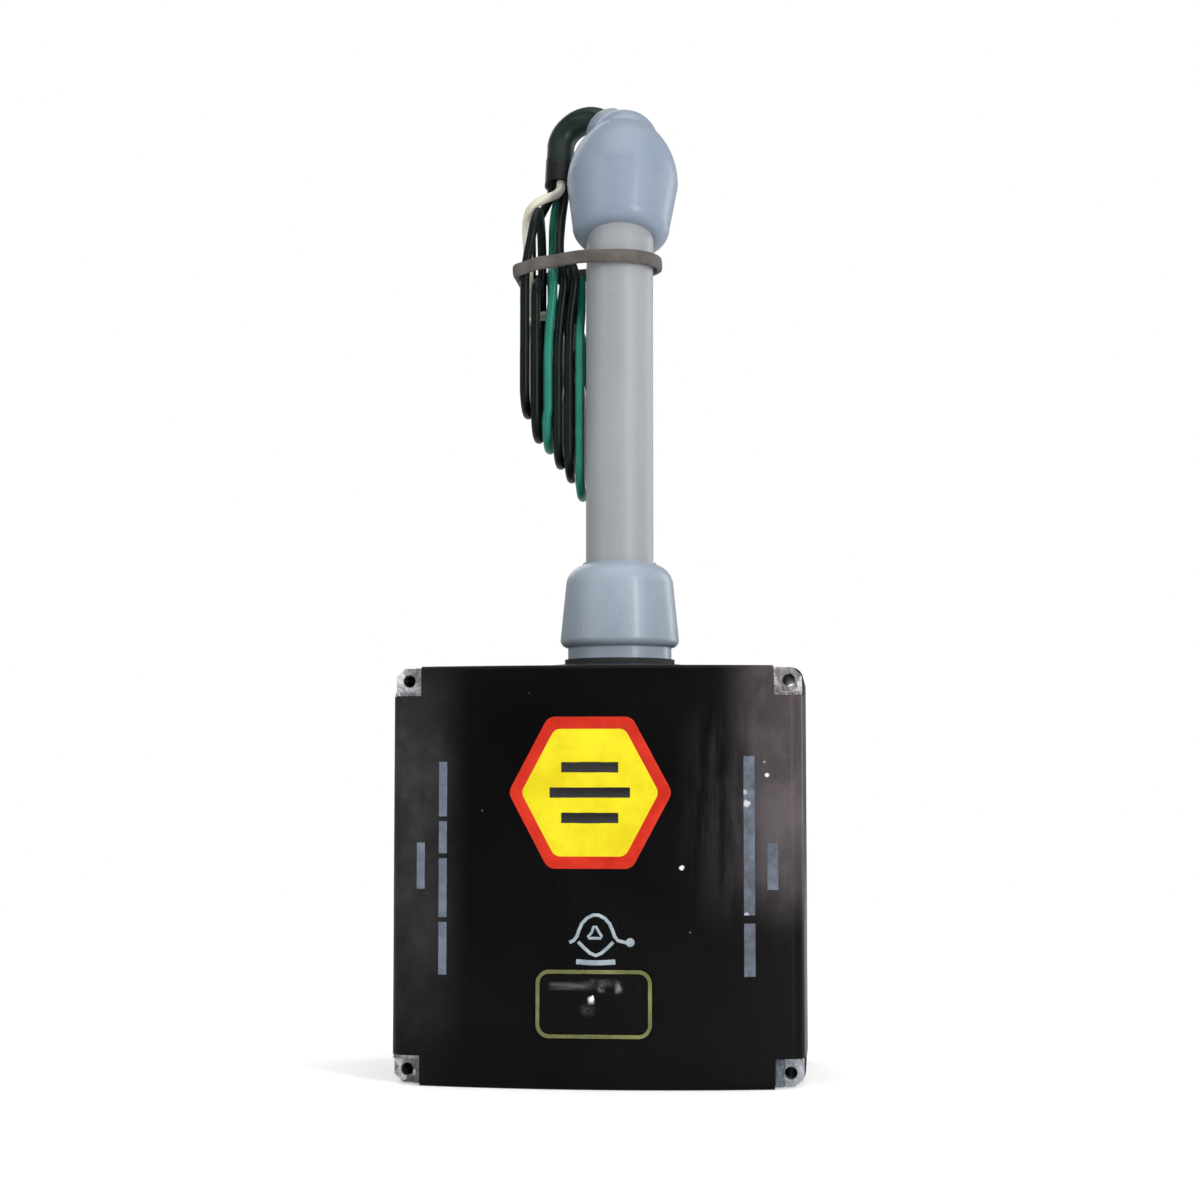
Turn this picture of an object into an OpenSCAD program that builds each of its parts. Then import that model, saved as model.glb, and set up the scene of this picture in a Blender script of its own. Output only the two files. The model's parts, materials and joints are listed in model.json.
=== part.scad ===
// Panel surge protective device with a conduit stem, an elbow boot and a folded hank of leads.
// Millimetres. +Z is up, the front looks along -Y, and the origin is the middle of the bottom face.

/* [Housing] */
// Width of the housing
housing_w = 124; // [112:1:150]
// Height of the housing
housing_h = 125.4; // [118:0.2:150]
// Depth from the window bezel's face to the back of the back plate
overall_d = 88; // [80:1:110]
// Wall thickness of the moulded housing
wall = 3; // [2.4:0.2:4]
// How far the curved front falls back at the side edges
front_set_back = 8; // [4:0.5:12]
// Rounding of the upright front edges
side_round = 5; // [3.5:0.5:7]
// Rounding of the front's top and bottom edges
rim_round = 1.8; // [1:0.2:2.4]
// Rounding of the housing's four long corners
end_round = 4; // [2:0.5:5]
// Height of the shallow cone that sheds water under the hub
cone_h = 1.7; // [1:0.1:3]
// Diameter of that cone at its foot
cone_d = 80; // [60:1:82]
// Diameter of the flat pad on top of the cone
pad_d = 40; // [37:1:50]
// Distance of the stem's axis to the right of the housing's middle
stem_x = 4; // [0:0.5:8]

/* [Corner caps] */
// Side length of the square pocket at each front corner
pocket = 9; // [8:0.5:11]
// Depth of each pocket, measured back from the upright edge's start
pocket_depth = 10.5; // [8:0.5:16]
// Clearance between a cap and its pocket
cap_gap = 0.15; // [0.1:0.05:0.4]
// How far a cap's face lies behind the housing's upright edge
cap_back = 0.6; // [0.2:0.1:2]
// Width of the cap's upright rib
cap_rib = 2.3; // [1.5:0.1:2.5]
// Width of the cap's level rib
cap_lip = 1.2; // [0.8:0.1:1.6]
// Depth of the recessed pad beside the ribs
cap_recess = 2; // [1:0.5:4]
// Chamfer on the cap's outer corner
cap_chamfer = 3; // [1.5:0.5:3.5]
// Diameter of the four wall-screw holes
wall_hole_d = 3.8; // [3:0.1:4]
// Distance of each wall-screw hole from the housing's sides
hole_inset = 4.3; // [4.1:0.1:5]

/* [Back plate] */
// Thickness of the steel back plate
plate_t = 1.5; // [1:0.1:3]
// Thickness of the gasket between plate and housing
gasket_t = 1; // [0.6:0.1:2]
// How far the gasket's edge lies inside the housing's outline
gasket_inset = 0.5; // [0.2:0.1:1]
// Thickness of the insulating sheet on the plate
sheet_t = 0.4; // [0.2:0.1:1]
// Distance between the housing screws, side to side
screw_span = 60; // [50:1:80]
// Shank diameter of the housing screws
screw_d = 2.9; // [2.5:0.1:3.5]
// Length of the housing screws
screw_l = 16; // [12:1:22]
// Radius of the bosses that the housing screws bite into
boss_r = 4; // [3.2:0.2:5]

/* [Trim strips] */
// Width of the left-hand trim strips
left_strip_w = 2.5; // [1.5:0.1:3.5]
// Width of the right-hand trim strips
right_strip_w = 3.3; // [1.5:0.1:3.5]
// Depth that the strips are let into the front
strip_depth = 1.2; // [0.8:0.1:1.6]
// Distance of the long columns of strips from the middle
strip_x = 45.9; // [42:0.1:47]
// Height of the lowest strip's foot
strip_z = 33.2; // [25:0.2:40]
// Gap between the strips of the left-hand column
left_strip_gap = 1.45; // [1:0.05:3]
// Lengths of the strips in the left-hand column, from the foot up
left_strips = [15.6, 17.5, 9.6, 16.3];
// Gap between the strips of the right-hand column
right_strip_gap = 2.4; // [1:0.1:3]
// Lengths of the strips in the right-hand column, from the foot up
right_strips = [15.6, 47];
// Distance of the short outer strips from the middle
outer_strip_x = 52.8; // [50.5:0.1:53.5]
// Height of the outer strips' foot
outer_strip_z = 58.6; // [45:0.2:75]
// Length of the outer strips
outer_strip_l = 13.8; // [8:0.1:20]

/* [Indicator window] */
// Width of the window over its bezel
window_w = 34.4; // [26:0.2:42]
// Height of the window over its bezel
window_h = 20; // [16:0.2:26]
// Corner radius of the bezel
window_r = 4; // [3:0.2:6]
// Height of the bezel's lower edge
window_z = 15.2; // [12:0.2:20]
// Width of the bezel's visible rim
bezel_rim = 1.1; // [0.8:0.1:2]
// How far the bezel stands proud of the front
bezel_proud = 0.6; // [0.4:0.1:1.5]
// Wall of the bezel behind its rim
bezel_wall = 0.7; // [0.5:0.1:0.9]
// Width of the flange behind the housing's wall
bezel_flange = 2; // [1:0.2:3]
// Thickness of that flange
flange_t = 1.2; // [0.8:0.1:2]
// Depth of the rim's lip in front of the lens
bezel_lip = 1.2; // [0.8:0.1:1.6]
// Thickness of the lens behind the lip
lens_t = 1.5; // [1:0.1:2.5]
// Clearance around the lens and the bezel
window_gap = 0.1; // [0.05:0.05:0.3]

/* [Conduit] */
// Outside diameter of the conduit
conduit_od = 21.34; // [20:0.01:22]
// Wall thickness of the conduit
conduit_wall = 2.8; // [2:0.1:3.4]
// Straight length of conduit above the hub
conduit_rise = 84.2; // [75:0.2:110]
// Radius of the bend at the conduit's upper end
bend_r = 60; // [50:1:90]
// How much the conduit's wall thickens on each face in the bend
bend_swell = 0.03; // [0.01:0.01:0.1]
// Angle that the bend leans back by
lean = 20; // [10:1:24]

/* [Conduit hub] */
// Height of the hub above its washer
hub_h = 30.6; // [28:0.2:40]
// Largest radius of the hub, at its lower lip
hub_lip_r = 18.7; // [18:0.1:19.5]
// Radius of the hub's upper shoulder curve
shoulder_r = 7.2; // [6:0.1:8]
// Radius of the hub just under the shoulder
hub_top_r = 17; // [16:0.1:18]
// Height of the lip's middle above the hub's foot
lip_z = 6.2; // [5.6:0.1:8]
// Radius of the lip's rounding
lip_round = 2.4; // [1.6:0.1:2.8]
// Radius of the neck under the lip
hub_neck_r = 16.3; // [15:0.1:16.6]
// Depth of the conduit's socket in the hub
socket_l = 22; // [18:0.5:23]
// Clearance between the conduit and its sockets
socket_gap = 0.05; // [0.02:0.01:0.15]
// Outside diameter of the threaded stub that passes through the housing
stub_d = 20.9; // [20:0.1:21.2]
// Clearance of the stub in the washer, the housing and the nut
stub_gap = 0.1; // [0.05:0.05:0.4]
// Length of the stub under the hub
stub_l = 17; // [14:0.5:22]
// Thickness of the sealing washer
washer_t = 1.8; // [1:0.1:3]
// Outside radius of the sealing washer
washer_r = 17.3; // [16:0.1:18]
// Thickness of the locknut
nut_t = 4; // [3:0.2:5]
// Outside radius of the locknut
nut_r = 15; // [13.5:0.2:17]

/* [Outlet connector] */
// Depth of the conduit's socket in the connector
cap_socket_l = 15; // [12:0.5:18]
// Largest radius of the connector
cap_r = 18; // [17:0.1:19]
// Distance of that widest ring from the mouth
cap_wide_s = 21; // [19:0.5:23]
// Radius of the connector's lower shoulder curve
cap_shoulder_r = 4.6; // [3.6:0.2:5]
// Radius of the long curve above the widest ring
cap_crown_r = 28; // [26:0.5:30]
// Radius of the dome on top
dome_r = 11.5; // [11:0.1:12.5]
// Distance of the dome's centre from the mouth
dome_s = 36.6; // [35.6:0.1:37.4]
// Radius of the hollow inside the connector
cap_bore_r = 7.4; // [6.5:0.1:8]
// Angle between the outlet and the connector's axis
outlet_tilt = 36; // [30:1:42]
// How far the outlet is turned towards the back
outlet_turn = 20; // [12:1:28]
// Length of the outlet from the axis to its ring
outlet_l = 13; // [12:0.5:15]
// Outside radius of the outlet
outlet_r = 7.2; // [6.6:0.1:8]
// Thickness of the outlet ring
ring_t = 2; // [1:0.2:3]

/* [Elbow boot] */
// Outside radius of the boot
boot_r = 4.5; // [4.3:0.1:4.8]
// Radius of the boot's bore
boot_bore_r = 3.85; // [3.75:0.05:4]
// Distance of the boot's leg from the connector's axis
leg_out = 23.2; // [23:0.1:26]
// Length of the boot's straight leg
leg_l = 15; // [10:0.5:20]
// How deep the boot's root sits in the outlet
boot_root = 4; // [3:0.5:6]
// Length of the cuff at the boot's end
cuff_l = 9.5; // [5:0.5:14]
// Step of the cuff over the boot
cuff_step = 0.2; // [0.1:0.05:0.4]

/* [Leads and band] */
// Diameter of one insulated lead
lead_d = 3; // [2.6:0.1:3]
// Spacing of the leads' columns in the hank
hank_pitch = 3.55; // [3.1:0.05:3.8]
// Gap between the hank and the conduit
hank_gap = 0.23; // [0.1:0.01:1]
// Depth of the hank, front to back
hank_d = 20.4; // [18:0.2:24]
// Distance of the hank's middle plane behind the conduit's axis
hank_y = 8; // [4:0.5:10]
// Heights of the columns' feet over the connector's mouth, from the conduit outwards
hank_feet = [-84, -78, -73.5, -68.5, -65, -57];
// Heights of the columns' tops over the connector's mouth, from the conduit outwards
hank_tops = [-7, -5, -5, -6, 11, 0];
// Distance of the rubber band's middle below the connector's mouth
band_drop = 9.7; // [8.5:0.1:14]
// Height of the band
band_h = 4.2; // [3:0.2:5]
// Thickness of the band
band_t = 1.5; // [0.8:0.1:2]
// Clearance of the band around what it holds
band_gap = 0.1; // [0.05:0.05:0.3]
// Radius of the band's corners around the hank, before its gap
band_corner = 0.2; // [0.1:0.05:0.25]

/* [Circuit board] */
// Width of the board
board_w = 92; // [84:1:96]
// Height of the board
board_h = 92; // [86:1:96]
// Thickness of the boards
board_t = 1.6; // [1:0.1:2.4]
// Height of the board's lower edge
board_z = 12; // [10:0.5:16]
// Length of the standoffs behind the board
standoff_l = 18.9; // [14:0.1:24]
// Distance of the board's fixings from its edges
fixing_inset = 5; // [4:0.5:7]
// Diameter of the varistor discs
varistor_d = 20; // [16:0.5:22]
// Thickness of the varistor discs
varistor_t = 5; // [3:0.5:7]
// Spacing of the varistors along the board
varistor_pitch = 20; // [14:0.5:21]
// Height of each varistor's row above the board's lower edge
varistor_rows = [22, 48];
// Length of the leads under a disc
varistor_leg = 3; // [2:0.5:6]
// Height of the thermal fuses' row above the board's lower edge
fuse_row = 35; // [33:0.5:37]
// Diameter of a thermal fuse
fuse_d = 3.6; // [3:0.1:4.4]
// Length of a thermal fuse's body
fuse_l = 10; // [8:0.5:12]
// Length of wire left at each end of a fuse
fuse_wire_l = 3; // [2:0.5:4]
// Width of the terminal block
block_w = 48; // [44:1:52]
// Height of the terminal block
block_h = 14; // [12:0.5:18]
// Depth of the terminal block, out from the board
block_d = 12; // [10:0.5:16]
// Distance of the block's foot below the board's top edge
block_drop = 32; // [26:1:34]
// Spacing of the terminals
terminal_pitch = 11.4; // [10:0.1:12]
// Height of the terminal screws above the block's foot
terminal_row = 5; // [4:0.5:7]
// Width of each filter capacitor
capacitor_w = 18; // [14:0.5:19]
// Height of each filter capacitor
capacitor_h = 12; // [9:0.5:16]
// Depth of each filter capacitor, out from the board
capacitor_d = 14; // [9:0.5:16]
// How far the insulating sheet reaches past the board
sheet_margin = 1; // [0.5:0.1:1.2]
// Clearance of the insulating sheet around the ground lug
sheet_gap = 0.8; // [0.5:0.1:2]
// Shank radius of the board screws
board_screw_r = 1.25; // [1:0.05:1.4]
// Length of the board screws behind the board
board_screw_l = 7; // [5:0.5:10]
// Diameter of the bonding lead
bond_d = 2; // [1.6:0.1:2.4]

/* [Hidden] */
$fn = 48;
eps = 0.01;

// Planes of the housing, front to back
front_y = bezel_proud - overall_d / 2;
back_y = overall_d / 2;
plate_y = back_y - plate_t;
rear_y = plate_y - gasket_t;
arc_r = (pow(housing_w / 2, 2) + pow(front_set_back, 2)) / (2 * front_set_back);
arc_y = front_y + arc_r;
fillet_x = housing_w / 2 - side_round;
fillet_y = arc_y - sqrt(pow(arc_r - side_round, 2) - pow(fillet_x, 2));
cap_face_y = fillet_y - side_round * 0.4 + cap_back;
pocket_floor_y = cap_face_y + pocket_depth;
hole_x = housing_w / 2 - hole_inset;
hole_z = [hole_inset, housing_h - hole_inset];
column = pocket + wall;

// Levels of the stem
pad_z = housing_h + cone_h;
hub_z = pad_z + washer_t;
hub_top_z = hub_z + hub_h;
conduit_z = hub_top_z - socket_l;
bend_z = hub_top_z + conduit_rise;
mouth_y = bend_r * (1 - cos(lean));
mouth_z = bend_z + bend_r * sin(lean);
band_z = mouth_z - band_drop;
conduit_r = conduit_od / 2;
bore_r = conduit_r - conduit_wall;
socket_r = conduit_r + socket_gap;
ceiling_z = housing_h - wall;

// Route of the boot, in the plane of the outlet: u outwards, s along the connector
turn = 180 - outlet_turn;
knee_s = dome_s - 0.6;
boot_bend_r = (leg_out - outlet_l * sin(outlet_tilt)) / (1 + cos(outlet_tilt));
boot_u = leg_out - boot_bend_r;
boot_s = knee_s + outlet_l * cos(outlet_tilt) - boot_bend_r * sin(outlet_tilt);
leg_end_s = boot_s - leg_l;
knee_r = 12;
knee_back = knee_r * tan(outlet_tilt / 2);
lead_offset = lead_d / 2 + 0.04;
lead_corners = [[-1, -1], [1, -1], [-1, 1], [1, 1]];
lead_spread = 2.6;

// Planes inside
board_y = plate_y - standoff_l;
board_front_y = board_y - board_t;
fixing_x = board_w / 2 - fixing_inset;
fixing_z = [board_z + fixing_inset, board_z + board_h - fixing_inset];
boss_in = wall + boss_r - 0.5;
boss_z = [boss_in, housing_h - boss_in];
bezel_back_y = front_y + wall + 2;
lip_y = front_y - bezel_proud + bezel_lip;
lens_back_y = lip_y + lens_t;
window_mid_z = window_z + window_h / 2;
post_r = 3;
post_x = window_w / 2 + bezel_flange + post_r + 0.4;
post_l = 6;
lamp_board_y = bezel_back_y + post_l;
lamp_board_w = 2 * (post_x + 4);
lamp_board_h = 26;
lamp_x = 6;
lamp_r = 2.5;
guide_w = 24;
guide_h = 9;
guide_t = 4.6;
lamp_l = lamp_board_y - lens_back_y - guide_t;
block_z = board_z + board_h - block_drop;
block_x = [for (i = [-1.5 : 1 : 1.5]) i * terminal_pitch];
lead_order = [3, 1, 2, 0];
entry_l = 5;
capacitor_x = block_w / 2 + capacitor_w / 2 + 1;
rib_pitch = 19;
wire_y = board_front_y - block_d / 2;
screw_z = block_z + terminal_row;
fixing_hole_r = board_screw_r + 0.35;
lug_r = 4;
lug_l = 12;
lug_t = 0.8;
barrel_r = 2;
ground_x = housing_w / 2 - column - lug_r - 6;
ground_z = ceiling_z - lug_r - 6.4;

// A rectangle with round corners, its middle at the origin
module rounded(w, h, r) {
    square([w - 2 * r, h], center = true);
    square([w, h - 2 * r], center = true);
    for (x = [-1, 1], y = [-1, 1])
        translate([x * (w / 2 - r), y * (h / 2 - r)]) circle(r);
}

// A flat shape drawn in x and z, made solid from y0 back to y1
module along_y(y0, y1) {
    translate([0, y1, 0]) rotate([90, 0, 0]) linear_extrude(y1 - y0) children();
}

// A rod along y
module rod_y(x, z, r, y0, y1, r_end = undef) {
    translate([x, y0, z]) rotate([-90, 0, 0])
        cylinder(r1 = r, r2 = is_undef(r_end) ? r : r_end, h = y1 - y0);
}

// The front view's outline, drawn inside the real one by the inset
module face_outline(inset) {
    translate([0, housing_h / 2])
        rounded(housing_w - 2 * inset, housing_h - 2 * inset, max(end_round - inset, 0.5));
}

// The round corner between the curved front and one side, seen from above
module edge_cut() {
    c = [fillet_x, fillet_y];
    away = c - [0, arc_y];
    polygon([c, c + away / norm(away) * 30, [housing_w, fillet_y - 60], c + [housing_w, 0]]);
}

// The housing's outer form: a disc with rounded rims gives the curved front
module housing_body() {
    intersection() {
        translate([0, arc_y, 0]) rotate_extrude($fn = 720) {
            square([arc_r - rim_round, housing_h]);
            translate([0, rim_round]) square([arc_r, housing_h - 2 * rim_round]);
            for (z = [rim_round, housing_h - rim_round])
                translate([arc_r - rim_round, z]) circle(rim_round);
        }
        along_y(front_y - 5, rear_y) face_outline(0);
        linear_extrude(housing_h) difference() {
            translate([-housing_w / 2 - 1, front_y - 10])
                square([housing_w + 2, rear_y - front_y + 11]);
            for (side = [0, 1]) mirror([side, 0]) difference() {
                edge_cut();
                translate([fillet_x, fillet_y]) circle(side_round);
            }
        }
    }
}

// The hollow behind the front wall, with a solid column left at each corner
module cavity() {
    intersection() {
        translate([0, arc_y, wall]) cylinder(r = arc_r - wall, h = housing_h - 2 * wall, $fn = 720);
        along_y(front_y, rear_y + 1) difference() {
            translate([wall - housing_w / 2, wall]) square([housing_w - 2 * wall, housing_h - 2 * wall]);
            for (x = [-1, 1], z = [0, 1])
                translate([x * (housing_w / 2 - column / 2), housing_h * z - column * (z - 0.5)])
                    square(column, center = true);
        }
    }
}

// One corner of the housing, drawn at the lower right and set out to all four
module at_corners() {
    for (side = [0, 1]) mirror([side, 0, 0]) {
        children();
        translate([0, 0, housing_h]) mirror([0, 0, 1]) children();
    }
}

// The strips of one side, each from its foot up: side -1 is the left and 1 the right
module strip_columns(side) {
    w = side < 0 ? left_strip_w : right_strip_w;
    gap = side < 0 ? left_strip_gap : right_strip_gap;
    lengths = side < 0 ? left_strips : right_strips;
    for (i = [0 : len(lengths) - 1])
        translate([side * strip_x - w / 2, strip_z + i * gap + sum_to(lengths, i)]) square([w, lengths[i]]);
    translate([side * outer_strip_x - w / 2, outer_strip_z]) square([w, outer_strip_l]);
}
function sum_to(list, n) = n == 0 ? 0 : list[n - 1] + sum_to(list, n - 1);

// The layer of the front that the strips are let into
module strip_layer(depth) {
    translate([0, arc_y, 0]) difference() {
        cylinder(r = arc_r, h = housing_h, $fn = 720);
        translate([0, 0, -1]) cylinder(r = arc_r - depth, h = housing_h + 2, $fn = 720);
    }
}

module housing() {
    color([0.05, 0.05, 0.055]) difference() {
        union() {
            difference() {
                union() {
                    housing_body();
                    translate([stem_x, 0, housing_h - eps])
                        cylinder(d1 = cone_d, d2 = pad_d, h = cone_h + eps);
                }
                cavity();
            }
            window_frame();
            for (x = [-1, 1], z = boss_z) rod_y(x * screw_span / 2, z, boss_r, rear_y - screw_l - 4, rear_y);
            for (x = [-1, 1]) rod_y(x * post_x, window_mid_z, post_r, front_y + wall / 2, lamp_board_y);
            ribs();
        }
        at_corners() {
            translate([housing_w / 2 - pocket, front_y - 1, -1])
                cube([pocket + 1, pocket_floor_y - front_y + 1, pocket + 1]);
            rod_y(hole_x, hole_inset, wall_hole_d / 2, pocket_floor_y - 1, rear_y + 1);
        }
        along_y(front_y - 1, bezel_back_y + 1) translate([0, window_mid_z])
            rounded(window_w + 2 * window_gap, window_h + 2 * window_gap, window_r + window_gap);
        for (x = [-1, 1], z = boss_z)
            rod_y(x * screw_span / 2, z, screw_d / 2 + 0.05, rear_y - screw_l - 1, rear_y + 1);
        for (x = [-1, 1]) rod_y(x * post_x, window_mid_z, 1, lamp_board_y - 5, lamp_board_y + 1);
        on_stem() translate([0, 0, ceiling_z - 1])
            cylinder(r = stub_d / 2 + stub_gap, h = wall + cone_h + 2);
        for (side = [-1, 1]) trim_strips(side);
    }
}

// A flat-backed frame round the window opening, inside the curved wall
module window_frame() {
    along_y(front_y + wall / 2, bezel_back_y) translate([0, window_mid_z])
        rounded(window_w + 2 * bezel_flange + 2, window_h + 2 * bezel_flange + 2, window_r + bezel_flange);
}

// Stiffening ribs that run down the inside of both side walls
module ribs() {
    for (side = [0, 1]) mirror([side, 0, 0]) for (i = [-1 : 1])
        translate([housing_w / 2 - wall - 2.5, fillet_y + wall, housing_h / 2 + i * rib_pitch - 1])
            cube([3, rear_y - fillet_y - wall - 2, 2]);
}

// A bright die-cast cap in a front corner: two ribs round a recessed pad with the screw hole
module corner_cap() {
    side = pocket - cap_gap;
    difference() {
        along_y(cap_face_y, pocket_floor_y) translate([housing_w / 2, 0]) polygon([
            [-side, side], [-side, 0.4], [-cap_chamfer, 0.4], [-0.4, cap_chamfer], [-0.4, side]]);
        translate([housing_w / 2 - side + cap_rib, cap_face_y - 1, -1])
            cube([side, cap_recess + 1, side - cap_lip + 1]);
        rod_y(hole_x, hole_inset, wall_hole_d / 2, cap_face_y - 1, pocket_floor_y + 1);
    }
}
module corner_caps() { color([0.8, 0.8, 0.82]) at_corners() corner_cap(); }

module back_plate() {
    color([0.7, 0.71, 0.72]) difference() {
        along_y(plate_y, back_y) face_outline(0);
        for (x = [-1, 1], z = hole_z) rod_y(x * hole_x, z, wall_hole_d / 2, plate_y - 1, back_y + 1);
        for (x = [-1, 1], z = boss_z) {
            rod_y(x * screw_span / 2, z, screw_d / 2 + 0.2, plate_y - 1, back_y + 1);
            rod_y(x * screw_span / 2, z, screw_d / 2 + 0.2, plate_y, back_y + eps, screw_d / 2 + 1.95);
        }
        rod_y(ground_x, ground_z, 1.35, plate_y - 1, back_y + 1);
    }
}

module gasket() {
    color([0.12, 0.12, 0.12]) along_y(rear_y, plate_y) difference() {
        face_outline(gasket_inset);
        difference() {
            translate([wall - housing_w / 2, wall]) square([housing_w - 2 * wall, housing_h - 2 * wall]);
            for (x = [-1, 1], z = [0, 1])
                translate([x * (housing_w / 2 - column / 2), housing_h * z - column * (z - 0.5)])
                    square(column, center = true);
            for (x = [-1, 1], z = boss_z) translate([x * screw_span / 2, z]) circle(boss_r);
        }
        for (x = [-1, 1], z = hole_z) translate([x * hole_x, z]) circle(wall_hole_d / 2 + 0.2);
        for (x = [-1, 1], z = boss_z) translate([x * screw_span / 2, z]) circle(screw_d / 2 + 0.2);
    }
}

module trim_strips(side) {
    intersection() {
        strip_layer(strip_depth);
        along_y(front_y - 1, arc_y) strip_columns(side);
    }
}
module trim_strips_left() { color([0.45, 0.52, 0.6]) trim_strips(-1); }
module trim_strips_right() { color([0.45, 0.52, 0.6]) trim_strips(1); }

module window_bezel() {
    color([0.42, 0.42, 0.2]) translate([0, 0, window_mid_z]) difference() {
        union() {
            along_y(front_y - bezel_proud, bezel_back_y + eps) rounded(window_w, window_h, window_r);
            along_y(bezel_back_y, bezel_back_y + flange_t) rounded(window_w + 2 * bezel_flange,
                window_h + 2 * bezel_flange, window_r + bezel_flange);
        }
        along_y(front_y - bezel_proud - 1, lip_y + 1)
            rounded(window_w - 2 * bezel_rim, window_h - 2 * bezel_rim, window_r - bezel_rim);
        along_y(lip_y, bezel_back_y + flange_t + 1)
            rounded(window_w - 2 * bezel_wall, window_h - 2 * bezel_wall, window_r - bezel_wall);
    }
}

module window_lens() {
    play = 2 * window_gap;
    color([0.1, 0.11, 0.1]) translate([0, 0, window_mid_z]) {
        along_y(front_y - bezel_proud + 0.3, lip_y + eps) rounded(window_w - 2 * bezel_rim - play,
            window_h - 2 * bezel_rim - play, window_r - bezel_rim - window_gap);
        along_y(lip_y, lens_back_y) rounded(window_w - 2 * bezel_wall - play,
            window_h - 2 * bezel_wall - play, window_r - bezel_wall - window_gap);
    }
}

module light_guide() {
    color([0.85, 0.9, 0.92]) translate([0, 0, window_mid_z]) difference() {
        along_y(lens_back_y, lens_back_y + guide_t) rounded(guide_w, guide_h, 1.5);
        along_y(lens_back_y + 1.5, lens_back_y + guide_t + 1) square([1.2, guide_h + 1], center = true);
    }
}

module status_lamps() {
    color([0.75, 0.9, 0.8]) for (x = [-lamp_x, lamp_x]) translate([x, lamp_board_y, window_mid_z])
        rotate([90, 0, 0]) {
            cylinder(r = lamp_r + 0.4, h = 1);
            cylinder(r = lamp_r, h = lamp_l - lamp_r);
            translate([0, 0, lamp_l - lamp_r]) intersection() {
                sphere(lamp_r);
                cylinder(r = lamp_r, h = lamp_r);
            }
        }
}

module indicator_board() {
    color([0.1, 0.35, 0.2]) difference() {
        along_y(lamp_board_y, lamp_board_y + board_t) translate([0, window_mid_z])
            rounded(lamp_board_w, lamp_board_h, 1.5);
        for (x = [-1, 1]) rod_y(x * post_x, window_mid_z, 1.3, lamp_board_y - 1, lamp_board_y + board_t + 1);
    }
}

// A pan-head screw along y, its head's back at y and its point towards the front
module front_screw(x, z, y, r, length) {
    head_r = r * 2;
    difference() {
        union() {
            rod_y(x, z, r, y - length, y);
            rod_y(x, z, head_r, y, y + r * 1.2, head_r * 0.8);
        }
        translate([x, y + r * 1.2, z]) cube([head_r * 1.2, r, r * 0.4], center = true);
    }
}
module indicator_screws() {
    color([0.75, 0.75, 0.76]) for (x = [-1, 1])
        front_screw(x * post_x, window_mid_z, lamp_board_y + board_t, 0.95, board_t + 4);
}

// A round sounder can with a sound hole in its face, on the back of the indicator board
module buzzer() {
    y0 = lamp_board_y + board_t;
    color([0.14, 0.14, 0.15]) difference() {
        union() {
            rod_y(0, window_mid_z, 6, y0, y0 + 8);
            rod_y(0, window_mid_z, 6.4, y0, y0 + 1);
        }
        rod_y(0, window_mid_z, 1, y0 + 6, y0 + 9);
    }
}

// Places what follows on the stem's axis, beside the housing's middle
module on_stem() { translate([stem_x, 0, 0]) children(); }

module sealing_washer() {
    color([0.06, 0.06, 0.065]) on_stem() translate([0, 0, pad_z]) difference() {
        cylinder(r = washer_r, h = washer_t);
        translate([0, 0, -1]) cylinder(r = stub_d / 2 + stub_gap, h = washer_t + 2);
    }
}

// The hub's half profile above its foot: neck, rounded lip, taper and shoulder
module hub_profile() {
    shoulder_z = hub_h - shoulder_r - 0.3;
    shoulder_x = hub_top_r - shoulder_r;
    square([hub_neck_r, lip_z]);
    translate([hub_lip_r - lip_round, lip_z]) circle(lip_round);
    polygon([[0, lip_z - lip_round], [hub_lip_r - lip_round, lip_z - lip_round],
        [hub_lip_r, lip_z], [hub_top_r, shoulder_z], [0, shoulder_z]]);
    intersection() {
        translate([shoulder_x, shoulder_z]) circle(shoulder_r, $fn = 96);
        square([hub_top_r + 1, hub_h]);
    }
    square([shoulder_x, hub_h - 0.3]);
    square([socket_r + 0.9, hub_h]);
}

module conduit_hub() {
    color([0.62, 0.68, 0.74]) on_stem() translate([0, 0, hub_z]) difference() {
        union() {
            rotate_extrude($fn = 96) hub_profile();
            translate([0, 0, -stub_l]) cylinder(d = stub_d, h = stub_l + 1);
        }
        translate([0, 0, hub_h - socket_l]) cylinder(r = socket_r, h = socket_l + 1);
        translate([0, 0, -stub_l - 1]) cylinder(r = bore_r, h = hub_h + stub_l);
    }
}

// A thin locknut with six teeth, up against the housing's ceiling
module hub_locknut() {
    color([0.74, 0.74, 0.75]) on_stem() translate([0, 0, ceiling_z - nut_t]) difference() {
        union() {
            cylinder(r = nut_r - 1.5, h = nut_t);
            for (i = [0 : 5]) rotate(i * 60) translate([-2.5, 0, 0]) cube([5, nut_r, nut_t]);
        }
        translate([0, 0, -1]) cylinder(r = stub_d / 2 + 0.02, h = nut_t + 2);
    }
}

// A smooth bushing on the stub's lower end keeps the leads off the thread
module hub_bushing() {
    foot = hub_z - stub_l;
    color([0.85, 0.83, 0.75]) on_stem() translate([0, 0, foot - 2]) difference() {
        cylinder(r = stub_d / 2 + 1.6, h = 6);
        translate([0, 0, 2]) cylinder(r = stub_d / 2 + 0.02, h = 5);
        translate([0, 0, -1]) cylinder(r = bore_r, h = 8);
    }
}

// Places what follows on the connector's axis, which leans back from the conduit's mouth
module leaned() { translate([0, mouth_y, mouth_z]) rotate([-lean, 0, 0]) children(); }

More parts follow.
